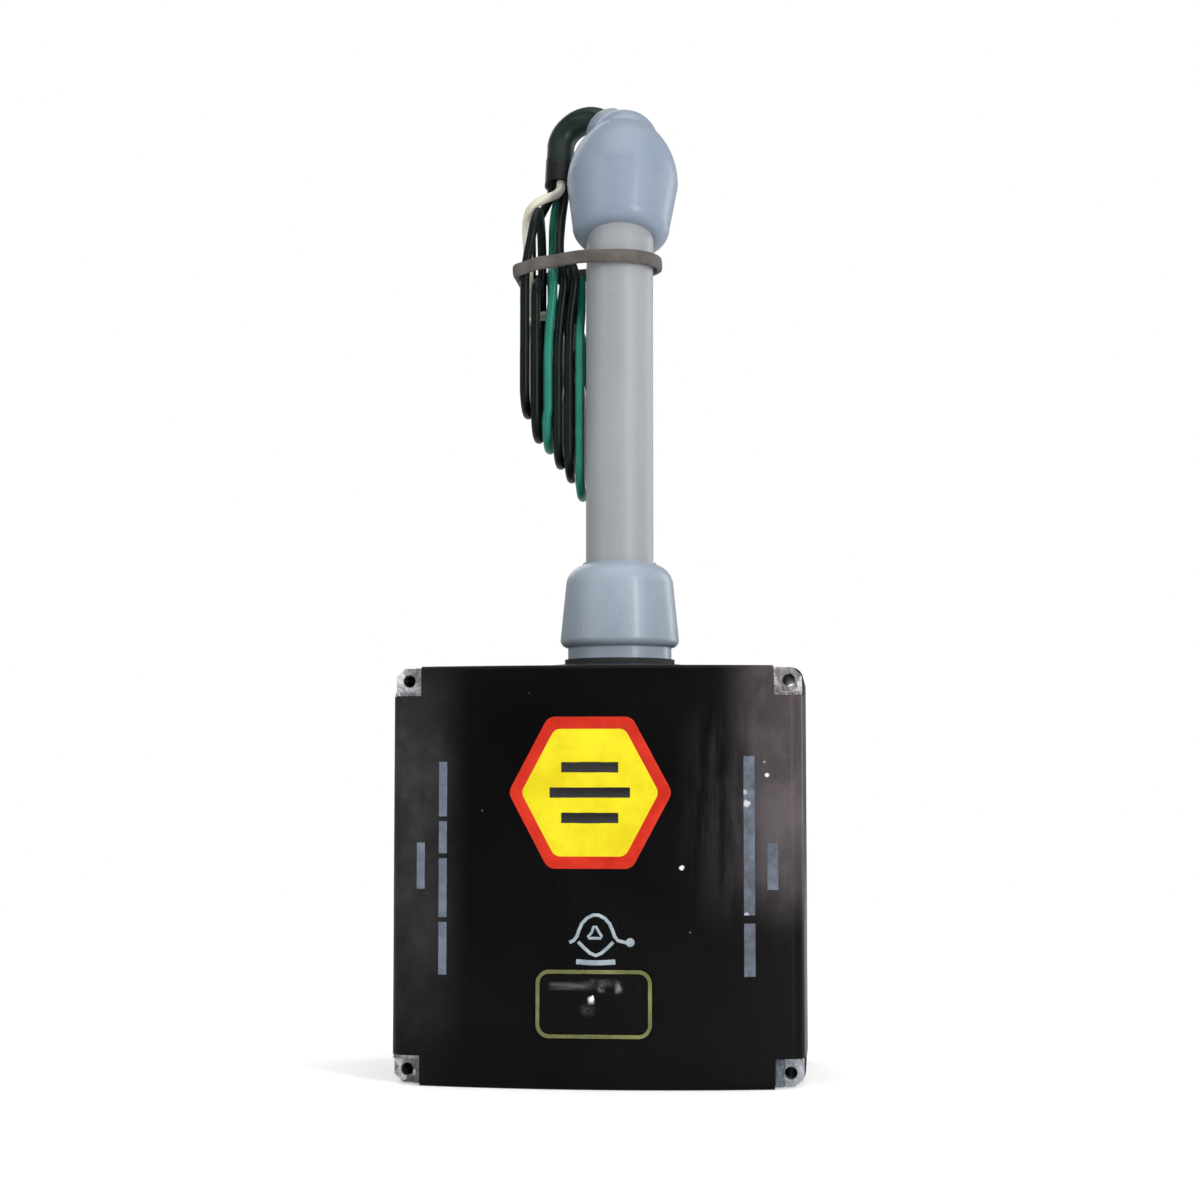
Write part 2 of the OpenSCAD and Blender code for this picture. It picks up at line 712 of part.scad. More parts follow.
// The section of the conduit's wall, thickened a little where it is bent
module conduit_section(swell = 0) {
    difference() {
        circle(conduit_r + swell);
        circle(bore_r - swell);
    }
}
module conduit() {
    color([0.6, 0.61, 0.63]) on_stem() {
        translate([0, 0, conduit_z]) linear_extrude(bend_z - conduit_z) conduit_section();
        translate([0, bend_r, bend_z]) rotate([90, 0, -90]) rotate_extrude(angle = lean, $fn = 96)
            translate([bend_r, 0]) conduit_section(bend_swell);
        leaned() linear_extrude(cap_socket_l) conduit_section();
    }
}

// Half profile of the outlet connector from its mouth at s = 0 to the dome
module cap_profile() {
    foot_r = 15.6;
    polygon([[0, 0], [foot_r - cap_shoulder_r, 0], [foot_r, cap_shoulder_r],
        [cap_r, cap_wide_s], [0, cap_wide_s]]);
    translate([foot_r - cap_shoulder_r, cap_shoulder_r]) circle(cap_shoulder_r);
    intersection() {
        translate([cap_r - cap_crown_r, cap_wide_s]) circle(cap_crown_r, $fn = 180);
        translate([0, cap_wide_s]) square([cap_r, dome_s + 2.8 - cap_wide_s]);
    }
    intersection() {
        translate([0, dome_s]) circle(dome_r, $fn = 96);
        translate([0, dome_s]) square([dome_r, dome_r + 1]);
    }
}

// Turns the plane of the outlet to the left and towards the back
module outlet_plane() { rotate([0, 0, turn]) children(); }
module outlet_axis() { outlet_plane() translate([0, 0, knee_s]) rotate([0, outlet_tilt, 0]) children(); }

module outlet_connector() {
    neck_l = outlet_l - ring_t;
    color([0.58, 0.65, 0.74]) on_stem() leaned() difference() {
        union() {
            rotate_extrude($fn = 96) cap_profile();
            outlet_axis() cylinder(r = outlet_r, h = neck_l);
        }
        translate([0, 0, -1]) cylinder(r = socket_r, h = cap_socket_l + 1);
        cylinder(r = cap_bore_r, h = knee_s - 5);
        translate([0, 0, knee_s - 5]) sphere(cap_bore_r);
        outlet_axis() cylinder(r = boot_bore_r + 0.2, h = outlet_l);
        outlet_axis() translate([0, 0, outlet_l - boot_root])
            cylinder(r = boot_r + socket_gap, h = boot_root);
        outlet_axis() translate([0, 0, neck_l]) cylinder(r = outlet_r + 0.2, h = ring_t);
    }
}

// A pale ring that clamps the boot's root in the outlet
module outlet_ring() {
    color([0.8, 0.84, 0.88]) on_stem() leaned() outlet_axis() translate([0, 0, outlet_l - ring_t])
        difference() {
            union() {
                cylinder(r = outlet_r, h = ring_t / 2);
                translate([0, 0, ring_t / 2]) cylinder(r1 = outlet_r, r2 = outlet_r - 0.8, h = ring_t / 2);
            }
            translate([0, 0, -1]) cylinder(r = boot_r + socket_gap, h = ring_t + 2);
        }
}

// The elbow boot as a rod of one radius, a little thicker in its bend: root, bend and leg
module boot_rod(r, swell, extra, lap) {
    outlet_axis() translate([0, 0, outlet_l - boot_root - extra])
        cylinder(r = r, h = boot_root + extra + lap);
    outlet_plane() {
        translate([boot_u, 0, boot_s]) rotate([90, 0, 0])
            rotate_extrude(angle = 180 - outlet_tilt, $fn = 96) translate([boot_bend_r, 0]) circle(r + swell);
        translate([leg_out, 0, leg_end_s - extra]) cylinder(r = r, h = leg_l + extra);
    }
}
module lead_boot() {
    color([0.1, 0.16, 0.13]) on_stem() leaned() difference() {
        union() {
            boot_rod(boot_r, bend_swell, 0, 2 * eps);
            outlet_plane() translate([leg_out, 0, leg_end_s]) cylinder(r = boot_r + cuff_step, h = cuff_l);
        }
        boot_rod(boot_bore_r, -bend_swell, 1, 0);
    }
}

// Points on the connector's plane, given outwards, sideways and along its axis, in the model's frame
function on_lean(u, v, s) = let (x = u * cos(turn) - v * sin(turn), y = u * sin(turn) + v * cos(turn))
    [x, mouth_y + y * cos(lean) + s * sin(lean), mouth_z - y * sin(lean) + s * cos(lean)];
function in_conduit(u, v, z) = [u * cos(turn) - v * sin(turn), u * sin(turn) + v * cos(turn), z];
function in_bend(u, v, angle) = let (y = u * sin(turn) + v * cos(turn), r = bend_r - y)
    [u * cos(turn) - v * sin(turn), bend_r - r * cos(angle), bend_z + r * sin(angle)];
function lead_end(k) = on_lean(leg_out - lead_corners[k][0] * lead_offset,
    lead_corners[k][1] * lead_offset, leg_end_s);

// The route of one inner lead: block, bushing, conduit, bend, knee and boot
function inner_route(k) = let (u = lead_corners[k][0] * lead_offset, v = lead_corners[k][1] * lead_offset,
    wide = lead_corners[k] * lead_spread, to = in_conduit(wide[0], wide[1], hub_z - stub_l - 4),
    from = [block_x[lead_order[k]] - stem_x, wire_y, block_z + block_h])
    concat(
        [from - [0, 0, entry_l]],
        [for (i = [0 : 6]) let (f = (1 - cos(30 * i)) / 2)
            [from[0] + (to[0] - from[0]) * f, from[1] + (to[1] - from[1]) * f,
                from[2] + (to[2] - from[2]) * i / 6]],
        [for (z = [hub_z, (conduit_z + bend_z) / 2, bend_z]) in_conduit(wide[0], wide[1], z)],
        [for (i = [1 : 3]) in_bend(wide[0], wide[1], lean * i / 3)],
        [for (i = [0 : 3]) let (a = outlet_tilt * i / 3) on_lean(knee_r - (knee_r - u) * cos(a), v,
            knee_s - knee_back + (knee_r - u) * sin(a))],
        [for (i = [0 : 9]) let (a = (180 - outlet_tilt) * (9 - i) / 9) on_lean(
            boot_u + (boot_bend_r - u) * cos(a), v, boot_s + (boot_bend_r - u) * sin(a))],
        [lead_end(k)]);

// A round cord swept along a route, with a ring of facets square to it at each point
function unit(v) = v / norm(v);
function tangent(p, i) = unit(p[min(i + 1, len(p) - 1)] - p[max(i - 1, 0)]);
module cord(route, r, sides, first = undef, aside = [0.3, 1, 0.1]) {
    n = len(route);
    rings = [for (i = [0 : n - 1]) let (t = i == 0 && !is_undef(first) ? first : tangent(route, i),
        a = unit(cross(aside, t)), b = cross(t, a))
        for (k = [0 : sides - 1]) route[i] + r * (cos(360 * k / sides) * a + sin(360 * k / sides) * b)];
    walls = [for (i = [0 : n - 2], k = [0 : sides - 1])
        [i * sides + k, (i + 1) * sides + k, (i + 1) * sides + (k + 1) % sides, i * sides + (k + 1) % sides]];
    polyhedron(rings, concat([[for (k = [0 : sides - 1]) k]], walls,
        [[for (k = [sides - 1 : -1 : 0]) (n - 1) * sides + k]]), convexity = 6);
}

module inner_leads() {
    color([0.2, 0.2, 0.2]) on_stem() for (k = [0 : 3]) cord(inner_route(k), lead_d / 2, 8);
}

// Routes of the four leads from the boot to the hank, with heights over the connector's mouth
route_a = [[-24.3, 18.7, 18.6], [-26.4, 18.1, 14], [-28.7, 17.6, 9.6], [-30.4, 17.1, 5.6], [-30.4, 16.7, 1.2],
    [-30.4, 16.7, -2.8]];
route_b = [[-19.9, 19.2, 17.6], [-20.1, 16.4, 13.4], [-20.2, 13, 8.8], [-20.1, 9, 4], [-19.9, 5, -0.6],
    [-19.4, 1.8, -5.1]];
route_green = [[-22.6, 20.9, 17], [-23.1, 18.9, 12], [-23.3, 17.3, 7], [-23.3, 16.7, 2],
    [-23.3, 16.7, -3.4], [-23.3, 16.7, -8.8]];
route_white = [[-21, 16.9, 20.2], [-22.1, 15, 18.2], [-24.2, 12.9, 16.8], [-26.9, 11.2, 15.2],
    [-29.5, 10, 12.9], [-30.8, 9, 9], [-31, 8.4, 5], [-30.7, 8.3, 0.4]];
down = [0, -sin(lean), -cos(lean)];

module free_lead(k, route) {
    on_stem() cord(concat([lead_end(k)], [for (p = route) p + [0, 0, mouth_z]]), lead_d / 2, 8, down);
}
module lead_black_a() { color([0.04, 0.05, 0.05]) free_lead(2, route_a); }
module lead_black_b() { color([0.04, 0.05, 0.05]) free_lead(1, route_b); }
module lead_green() { color([0.1, 0.5, 0.35]) free_lead(0, route_green); }
module lead_white() { color([0.85, 0.82, 0.72]) free_lead(3, route_white); }

// One column of turns in the hank, as a solid with round ends
module hank_column(i) {
    x = -conduit_r - hank_gap - (i + 1) * hank_pitch;
    end_r = hank_d / 2;
    translate([x, hank_y, mouth_z]) rotate([90, 0, 90]) linear_extrude(hank_pitch) {
        for (z = [hank_feet[i] + end_r, hank_tops[i] - end_r]) translate([0, z]) circle(end_r);
        translate([-end_r, hank_feet[i] + end_r]) square([hank_d, hank_tops[i] - hank_feet[i] - hank_d]);
    }
}
module lead_hank() {
    color([0.06, 0.1, 0.09]) on_stem() for (i = [0 : len(hank_feet) - 1]) hank_column(i);
}

// The band's inner outline, a stretched loop round the bent conduit and the hank
module band_loop(grow) {
    out_x = conduit_r + hank_gap + len(hank_feet) * hank_pitch;
    corner = band_corner;
    hull() {
        for (rise = [-1, 1]) {
            angle = asin((band_z + rise * band_h / 2 - bend_z) / bend_r);
            translate([0, bend_r * (1 - cos(angle))])
                circle((conduit_r + bend_swell) / cos(angle) + grow, $fn = 64);
        }
        for (y = [-1, 1]) translate([corner - out_x, hank_y + y * (hank_d / 2 - corner)])
            circle(corner + grow, $fn = 32);
        translate([-conduit_r - hank_gap - corner, hank_y + hank_d / 2 - corner])
            circle(corner + grow, $fn = 32);
    }
}
module rubber_band() {
    color([0.42, 0.4, 0.39]) on_stem() translate([0, 0, band_z - band_h / 2]) linear_extrude(band_h)
        difference() {
            band_loop(band_gap + band_t);
            band_loop(band_gap);
        }
}

module circuit_board() {
    color([0.1, 0.38, 0.22]) difference() {
        along_y(board_front_y, board_y) translate([0, board_z + board_h / 2]) rounded(board_w, board_h, 2);
        for (x = [-1, 1], z = fixing_z)
            rod_y(x * fixing_x, z, fixing_hole_r, board_front_y - 1, board_y + 1);
    }
}

module board_standoffs() {
    color([0.78, 0.62, 0.3]) for (x = [-1, 1], z = fixing_z) difference() {
        translate([x * fixing_x, board_y, z]) rotate([-90, 0, 0]) cylinder(r = 3.2, h = standoff_l, $fn = 6);
        rod_y(x * fixing_x, z, board_screw_r + 0.05, board_y - 1, board_y + board_screw_l + 2);
    }
}

module board_screws() {
    color([0.75, 0.75, 0.76]) for (x = [-1, 1], z = fixing_z)
        translate([x * fixing_x, board_front_y, z]) rotate([0, 0, 180]) translate([-x * fixing_x, 0, -z])
            front_screw(x * fixing_x, z, 0, board_screw_r, board_t + board_screw_l);
}

// A coated disc on its two leads, standing square to the board
module varistor(x, z) {
    y = board_front_y - varistor_leg - varistor_d / 2;
    translate([x - varistor_t / 2, y, z]) rotate([0, 90, 0]) {
        translate([0, 0, 0.6]) cylinder(d = varistor_d, h = varistor_t - 1.2);
        cylinder(d1 = varistor_d - 1.6, d2 = varistor_d, h = 0.6);
        translate([0, 0, varistor_t - 0.6]) cylinder(d1 = varistor_d, d2 = varistor_d - 1.6, h = 0.6);
    }
    for (side = [-1, 1])
        rod_y(x + side * (varistor_t / 2 - 1.5), z + side * 3.75, 0.5, y + varistor_d * 0.4, board_front_y);
}
module varistors() {
    color([0.12, 0.3, 0.6]) for (row = varistor_rows, i = [0 : 3])
        varistor((i - 1.5) * varistor_pitch, board_z + row);
}

// Axial thermal fuses with bent leads, one beside each pair of discs
module thermal_fuses() {
    y = board_front_y - fuse_d / 2 - 1;
    reach = fuse_l / 2 + fuse_wire_l;
    wire_r = 0.4;
    color([0.75, 0.72, 0.66]) for (i = [0 : 3])
        translate([(i - 1.5) * varistor_pitch, 0, board_z + fuse_row]) {
            translate([-fuse_l / 2, y, 0]) rotate([0, 90, 0]) cylinder(d = fuse_d, h = fuse_l);
            translate([-reach, y, 0]) rotate([0, 90, 0]) cylinder(r = wire_r, h = 2 * reach);
            for (x = [-reach, reach]) rod_y(x, 0, wire_r, y - wire_r, board_front_y);
        }
}

module filter_capacitors() {
    color([0.8, 0.7, 0.2]) for (side = [0, 1]) mirror([side, 0, 0])
        translate([capacitor_x - capacitor_w / 2, board_front_y - capacitor_d, block_z - 2])
            difference() {
                cube([capacitor_w, capacitor_d, capacitor_h]);
                translate([1.5, -1, 1.5]) cube([capacitor_w - 3, 1.4, capacitor_h - 3]);
            }
}

module terminal_block() {
    color([0.15, 0.16, 0.17]) difference() {
        translate([-block_w / 2, board_front_y - block_d, block_z]) cube([block_w, block_d, block_h]);
        for (x = block_x) {
            rod_y(x, screw_z, 2.6, board_front_y - block_d - 1, board_front_y - block_d + 3);
            rod_y(x, screw_z, 1.55, board_front_y - block_d, board_front_y - 4);
            translate([x, wire_y, block_z + block_h - entry_l]) cylinder(r = lead_d / 2 + 0.1, h = entry_l + 1);
        }
        for (i = [0 : 2]) translate([(block_x[i] + block_x[i + 1]) / 2 - 0.6, board_front_y - block_d - 1,
            block_z - 1]) cube([1.2, 3, block_h + 2]);
    }
}
module terminal_screws() {
    y = board_front_y - block_d + 3;
    color([0.76, 0.76, 0.76]) for (x = block_x) difference() {
        union() {
            rod_y(x, screw_z, 2.5, y - 2, y);
            rod_y(x, screw_z, 1.5, y, y + 5);
        }
        translate([x, y - 2, screw_z]) cube([6, 1.6, 0.8], center = true);
    }
}

module insulating_sheet() {
    color([0.85, 0.82, 0.7]) along_y(plate_y - sheet_t, plate_y) difference() {
        translate([0, board_z + board_h / 2])
            rounded(board_w + 2 * sheet_margin, board_h + 2 * sheet_margin, 2);
        for (x = [-1, 1], z = fixing_z) translate([x * fixing_x, z]) circle(3.6);
        translate([ground_x - lug_l - sheet_gap, ground_z - lug_r - sheet_gap])
            square([lug_l + lug_r + 2 * sheet_gap, board_h]);
    }
}

// Countersunk screws from the back into the housing's bosses
module housing_screws() {
    r = screw_d / 2;
    color([0.7, 0.7, 0.71]) for (x = [-1, 1], z = boss_z) difference() {
        union() {
            rod_y(x * screw_span / 2, z, r, back_y - screw_l, back_y - 0.1);
            rod_y(x * screw_span / 2, z, r, plate_y + 0.25, back_y - 0.1, r + 1.4);
        }
        translate([x * screw_span / 2, back_y, z]) {
            cube([r * 2, 1.4, 0.6], center = true);
            cube([0.6, 1.4, r * 2], center = true);
        }
    }
}

// A ring terminal with a barrel for the bonding lead, under its own screw on the plate
module ground_lug() {
    y = plate_y - lug_t;
    color([0.8, 0.72, 0.5]) difference() {
        union() {
            rod_y(ground_x, ground_z, lug_r, y, plate_y);
            translate([ground_x - lug_l, y, ground_z - 1.5]) cube([lug_l, lug_t, 3]);
            translate([ground_x - lug_l, plate_y - barrel_r, ground_z]) rotate([0, 90, 0])
                cylinder(r = barrel_r, h = lug_l / 2);
        }
        rod_y(ground_x, ground_z, 1.6, plate_y - barrel_r, plate_y + 1);
        translate([ground_x - lug_l - 1, plate_y, ground_z - 5]) cube([lug_l + 2, 3, 10]);
    }
}
module ground_screw() {
    color([0.3, 0.6, 0.4]) translate([0, plate_y - lug_t, 0]) {
        rod_y(ground_x, ground_z, 1.3, 0, lug_t + plate_t);
        difference() {
            rod_y(ground_x, ground_z, 2.6, -1.8, 0);
            translate([ground_x, -1.8, ground_z]) cube([6, 1.6, 0.7], center = true);
        }
    }
}

// The lead that bonds the circuit board's back to the plate, from the lug's barrel
module bonding_lead() {
    from = [ground_x - lug_l, plate_y - barrel_r, ground_z];
    route = [[0, 0, 0], [-2.5, 0, 0], [-4.8, -0.6, -0.6], [-6.6, -2, -2], [-7.6, -4.2, -4.2], [-8, -6.6, -6.6],
        [-8, -9, -9], [-8, -11.2, -11.2], [-8, -13.4, -12.6], [-8, -15.2, -13]];
    color([0.12, 0.5, 0.3]) cord(concat([for (p = route) from + p], [[from[0] - 8, board_y, from[2] - 13]]),
        bond_d / 2, 8, [-1, 0, 0], [1, -1, 1]);
}

housing();
back_plate();
gasket();
corner_caps();
trim_strips_left();
trim_strips_right();
window_bezel();
window_lens();
light_guide();
status_lamps();
indicator_board();
indicator_screws();
buzzer();
sealing_washer();
conduit_hub();
hub_locknut();
hub_bushing();
conduit();
outlet_connector();
outlet_ring();
lead_boot();
rubber_band();
inner_leads();
lead_black_a();
lead_black_b();
lead_green();
lead_white();
lead_hank();
circuit_board();
board_standoffs();
board_screws();
varistors();
thermal_fuses();
filter_capacitors();
terminal_block();
terminal_screws();
insulating_sheet();
housing_screws();
ground_lug();
ground_screw();
bonding_lead();
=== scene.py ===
import json
import math

import bmesh
import bpy
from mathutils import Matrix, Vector
from mathutils.geometry import convex_hull_2d


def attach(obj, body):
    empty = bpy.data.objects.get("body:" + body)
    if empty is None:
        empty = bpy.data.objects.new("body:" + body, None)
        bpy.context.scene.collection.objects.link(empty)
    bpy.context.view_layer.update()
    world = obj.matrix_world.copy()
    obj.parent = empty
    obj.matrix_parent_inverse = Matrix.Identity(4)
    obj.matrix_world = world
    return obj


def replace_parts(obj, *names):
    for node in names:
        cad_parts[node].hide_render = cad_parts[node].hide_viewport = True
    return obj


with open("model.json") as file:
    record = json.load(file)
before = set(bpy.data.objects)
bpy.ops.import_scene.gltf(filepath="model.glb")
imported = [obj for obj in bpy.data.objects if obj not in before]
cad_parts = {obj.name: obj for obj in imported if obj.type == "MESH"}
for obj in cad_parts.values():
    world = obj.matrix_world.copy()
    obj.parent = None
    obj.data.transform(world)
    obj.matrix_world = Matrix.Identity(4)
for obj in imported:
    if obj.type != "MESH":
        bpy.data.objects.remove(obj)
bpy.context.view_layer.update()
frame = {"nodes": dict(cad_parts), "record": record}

nodes = frame["nodes"]
scene = bpy.context.scene
print("surge protector: the frame has", len(nodes), "nodes")

# Camera
view = {
    "place": (0.0700, -0.7575, 0.0905),
    "yaw": 5.45,      # degrees, towards the left
    "pitch": 4.32,    # degrees above level
    "lens": 72.31,
    "sensor": 36.0,
    "clip": (0.01, 50),
}
camera = bpy.data.objects.new("camera", bpy.data.cameras.new("camera"))
scene.collection.objects.link(camera)
camera.location = view["place"]
camera.rotation_euler = (math.radians(90 + view["pitch"]), 0, math.radians(view["yaw"]))
camera.data.lens = view["lens"]
camera.data.sensor_width = view["sensor"]
camera.data.clip_start, camera.data.clip_end = view["clip"]
scene.camera = camera
print("surge protector: camera")


# A new node with its settings, fed by plain values or by the outputs of other nodes
def put(tree, kind, feeds=None, **settings):
    node = tree.nodes.new(kind)
    for name, value in settings.items():
        setattr(node, name, value)
    for name, value in (feeds or {}).items():
        wire(tree, value, node.inputs[name])
    return node


def wire(tree, value, socket):
    if isinstance(value, bpy.types.NodeSocket):
        tree.links.new(value, socket)
    else:
        socket.default_value = value


def maths(tree, operation, a, b=0.5, clamp=False):
    node = put(tree, "ShaderNodeMath", {0: a, 1: b}, operation=operation, use_clamp=clamp)
    return node.outputs[0]


# A smooth step of a value from one range to another
def spread(tree, value, low, high, toLow=0.0, toHigh=1.0):
    node = put(tree, "ShaderNodeMapRange", {"Value": value, "From Min": low, "From Max": high,
                                            "To Min": toLow, "To Max": toHigh})
    node.interpolation_type = "SMOOTHSTEP"
    return node.outputs["Result"]


def blendColour(tree, mask, a, b):
    node = put(tree, "ShaderNodeMix", data_type="RGBA")
    wire(tree, mask, node.inputs["Factor"])
    sockets = [s for s in node.inputs if s.type == "RGBA"]
    for socket, value in zip(sockets, (a, b)):
        wire(tree, value if isinstance(value, bpy.types.NodeSocket) else (*value, 1), socket)
    return [s for s in node.outputs if s.type == "RGBA"][0]


def objectPlace(tree):
    return put(tree, "ShaderNodeTexCoord").outputs["Object"]


def vectorMaths(tree, operation, a, b):
    return put(tree, "ShaderNodeVectorMath", {0: a, 1: b}, operation=operation)


def noiseAt(tree, place, scale, detail=2.0, roughness=0.5):
    return put(tree, "ShaderNodeTexNoise", {"Vector": place, "Scale": scale, "Detail": detail,
                                            "Roughness": roughness}).outputs["Fac"]


# Random cells: the distance to each cell's middle and a random share for each cell
def cellsAt(tree, place, scale):
    cells = put(tree, "ShaderNodeTexVoronoi", {"Vector": place, "Scale": scale})
    share = put(tree, "ShaderNodeSeparateColor", {0: cells.outputs["Color"]}).outputs[0]
    return cells.outputs["Distance"], share


def product(tree, a, b, c):
    return maths(tree, "MULTIPLY", maths(tree, "MULTIPLY", a, b), c, True)


# A node group from its inputs' plain values and its outputs' names
def newGroup(name, takes, gives, kind="NodeSocketFloat"):
    tree = bpy.data.node_groups.new(name, "ShaderNodeTree")
    for label, value in takes.items():
        form = "NodeSocketVector" if isinstance(value, tuple) else "NodeSocketFloat"
        socket = tree.interface.new_socket(name=label, in_out="INPUT", socket_type=form)
        socket.default_value = value
    for label in gives:
        tree.interface.new_socket(name=label, in_out="OUTPUT", socket_type=kind)
    return tree, tree.nodes.new("NodeGroupInput").outputs, tree.nodes.new("NodeGroupOutput").inputs


def useGroup(tree, group, **feeds):
    node = tree.nodes.new("ShaderNodeGroup")
    node.node_tree = group
    for name, value in feeds.items():
        wire(tree, value, node.inputs[name])
    return node.outputs


# Shared effect: a mask of the outer edges that handling rubs, broken up by noise
edgeLook = {"samples": 4, "bend": (0.995, 0.9), "detail": 3.0, "roughness": 0.65,
            "kept": (0.42, 0.62)}


def makeEdgeWear():
    tree, given, made = newGroup("edgeWear", {"Width": 0.0006, "Breakup": 260.0, "Amount": 0.5},
                                 ["Mask"])
    place = objectPlace(tree)
    rounded = put(tree, "ShaderNodeBevel", {"Radius": given["Width"]}, samples=edgeLook["samples"])
    flat = put(tree, "ShaderNodeNewGeometry").outputs["Normal"]
    turn = vectorMaths(tree, "DOT_PRODUCT", rounded.outputs[0], flat).outputs["Value"]
    edge = spread(tree, turn, *edgeLook["bend"])
    noise = noiseAt(tree, place, given["Breakup"], edgeLook["detail"], edgeLook["roughness"])
    broken = spread(tree, noise, *edgeLook["kept"])
    tree.links.new(product(tree, edge, broken, given["Amount"]), made["Mask"])
    return tree


# Shared effect: two sizes of mottle for the colour and a fine height for the bump
mottleLook = {
    "broad": {"detail": 4.0, "roughness": 0.6}, "tone": (0.3, 0.7),
    "fine": {"detail": 3.0, "roughness": 0.7}, "grain": (0.35, 0.65),
    "toneHeight": 0.35,
}


def makeMottle():
    tree, given, made = newGroup("mottle", {"Broad": 22.0, "Fine": 900.0, "Stretch": (1, 1, 1)},
                                 ["Tone", "Height"])
    place = vectorMaths(tree, "MULTIPLY", objectPlace(tree), given["Stretch"]).outputs[0]
    broad = noiseAt(tree, place, given["Broad"], **mottleLook["broad"])
    fine = noiseAt(tree, place, given["Fine"], **mottleLook["fine"])
    tone = spread(tree, broad, *mottleLook["tone"])
    grain = spread(tree, fine, *mottleLook["grain"])
    height = maths(tree, "ADD", maths(tree, "MULTIPLY", tone, mottleLook["toneHeight"]), grain)
    tree.links.new(tone, made["Tone"])
    tree.links.new(height, made["Height"])
    return tree


# Shared effect: hair scratches and specks, as a mask that patches of noise switch on and off
scuffLook = {
    "hairs": ((0.5, (14, 1, 0.9)), (-0.9, (12, 1, 0.7)), (1.35, (10, 1, 1.1))),   # turn, stretch
    "lean": 0.3,          # share of its turn that a hair also leans by
    "hairWidth": 0.006,   # a hair shows where the noise is this near to its middle value
    "patchScale": 34.0, "patch": (0.52, 0.68),
    "dotScale": 210.0, "dot": (0.09, 0.03), "rare": (0.9, 0.93),
}


def makeScuffs():
    tree, given, made = newGroup("scuffs", {"Scale": 60.0, "Amount": 0.5, "Specks": 0.3},
                                 ["Mask", "Speck"])
    place = objectPlace(tree)
    lines = None
    for turn, stretch in scuffLook["hairs"]:
        turned = put(tree, "ShaderNodeMapping", {
            "Vector": place, "Rotation": (0, turn, turn * scuffLook["lean"]), "Scale": stretch})
        noise = noiseAt(tree, turned.outputs[0], given["Scale"])
        near = maths(tree, "ABSOLUTE", maths(tree, "SUBTRACT", noise, 0.5))
        line = spread(tree, near, scuffLook["hairWidth"], 0.0)
        lines = line if lines is None else maths(tree, "MAXIMUM", lines, line)
    shown = spread(tree, noiseAt(tree, place, scuffLook["patchScale"]), *scuffLook["patch"])
    mask = product(tree, lines, shown, given["Amount"])
    distance, share = cellsAt(tree, place, scuffLook["dotScale"])
    dots = spread(tree, distance, *scuffLook["dot"])
    rare = spread(tree, share, *scuffLook["rare"])
    tree.links.new(mask, made["Mask"])
    tree.links.new(product(tree, dots, rare, given["Specks"]), made["Speck"])
    return tree


# Shared effect: a normal that rounds off hard edges a little
def makeSoftEdge():
    tree, given, made = newGroup("softEdge", {"Radius": 0.0003}, ["Normal"], "NodeSocketVector")
    rounded = put(tree, "ShaderNodeBevel", {"Radius": given["Radius"]}, samples=edgeLook["samples"])
    tree.links.new(rounded.outputs[0], made["Normal"])
    return tree


edgeWear, mottle, scuffs, softEdge = makeEdgeWear(), makeMottle(), makeScuffs(), makeSoftEdge()

# What a patch of another tone has when it doesn't say otherwise
plainZone = {"stretch": (1, 1, 1), "scale": 60.0, "detail": 5.0, "roughness": 0.65,
             "kept": (0.35, 0.65), "least": 0.4, "amount": 1.0}


# A mask in a box of the row's frame. Each side is four places: none, full, full, none
def zoneMask(tree, place, own):
    zone = {**plainZone, **own}
    parts = put(tree, "ShaderNodeSeparateXYZ", {0: place})
    mask = None
    for axis in "xyz":
        if axis not in zone:
            continue
        start, full, last, stop = zone[axis]
        value = parts.outputs[axis.upper()]
        side = maths(tree, "MULTIPLY", spread(tree, value, start, full),
                     spread(tree, value, stop, last))
        mask = side if mask is None else maths(tree, "MULTIPLY", mask, side)
    stretched = vectorMaths(tree, "MULTIPLY", place, zone["stretch"]).outputs[0]
    noise = noiseAt(tree, stretched, zone["scale"], zone["detail"], zone["roughness"])
    patchy = spread(tree, noise, *zone["kept"], zone["least"], 1.0)
    return product(tree, mask, patchy, zone["amount"])


spotLook = {"noise": 900.0, "ragged": 0.8, "none": 1.35, "full": 0.9}   # the last three in radii


# A round mask on the front at a place across and up, its rim broken up a little
def spotMask(tree, place, x, z, radius):
    flat = vectorMaths(tree, "MULTIPLY", place, (1, 0, 1)).outputs[0]
    away = vectorMaths(tree, "DISTANCE", flat, (x, 0, z)).outputs["Value"]
    noise = noiseAt(tree, place, spotLook["noise"])
    ragged = maths(tree, "ADD", away, maths(tree, "MULTIPLY", noise, radius * spotLook["ragged"]))
    return spread(tree, ragged, radius * spotLook["none"], radius * spotLook["full"])


def newMaterial(name, metallic, specular, coat=0.0, coatRough=0.08):
    material = bpy.data.materials.new(name)
    material.use_nodes = True
    tree = material.node_tree
    shader = tree.nodes["Principled BSDF"]
    shader.inputs["Metallic"].default_value = metallic
    shader.inputs["Specular IOR Level"].default_value = specular
    shader.inputs["Coat Weight"].default_value = coat
    shader.inputs["Coat Roughness"].default_value = coatRough
    return material, tree, shader


# What a finish has when its own look doesn't say otherwise
plainLook = {
    "metallic": 0.0, "specular": 0.5, "coat": 0.0, "rough": (0.3, 0.45),
    "broad": 22.0, "fine": 900.0, "stretch": (1, 1, 1),
    "edge": 0.0005, "wear": 0.4, "breakup": 260.0, "wearRough": 0.15,
    "scratch": 60.0, "scuff": 0.35, "scuffRough": 0.25, "specks": 0.2, "dust": (0.6, 0.6, 0.58),
    "bump": 0.15, "depth": 0.0002, "round": 0.0003, "paintedGlintCells": (0.55, 0.95),
    "zones": (), "spots": (),
}


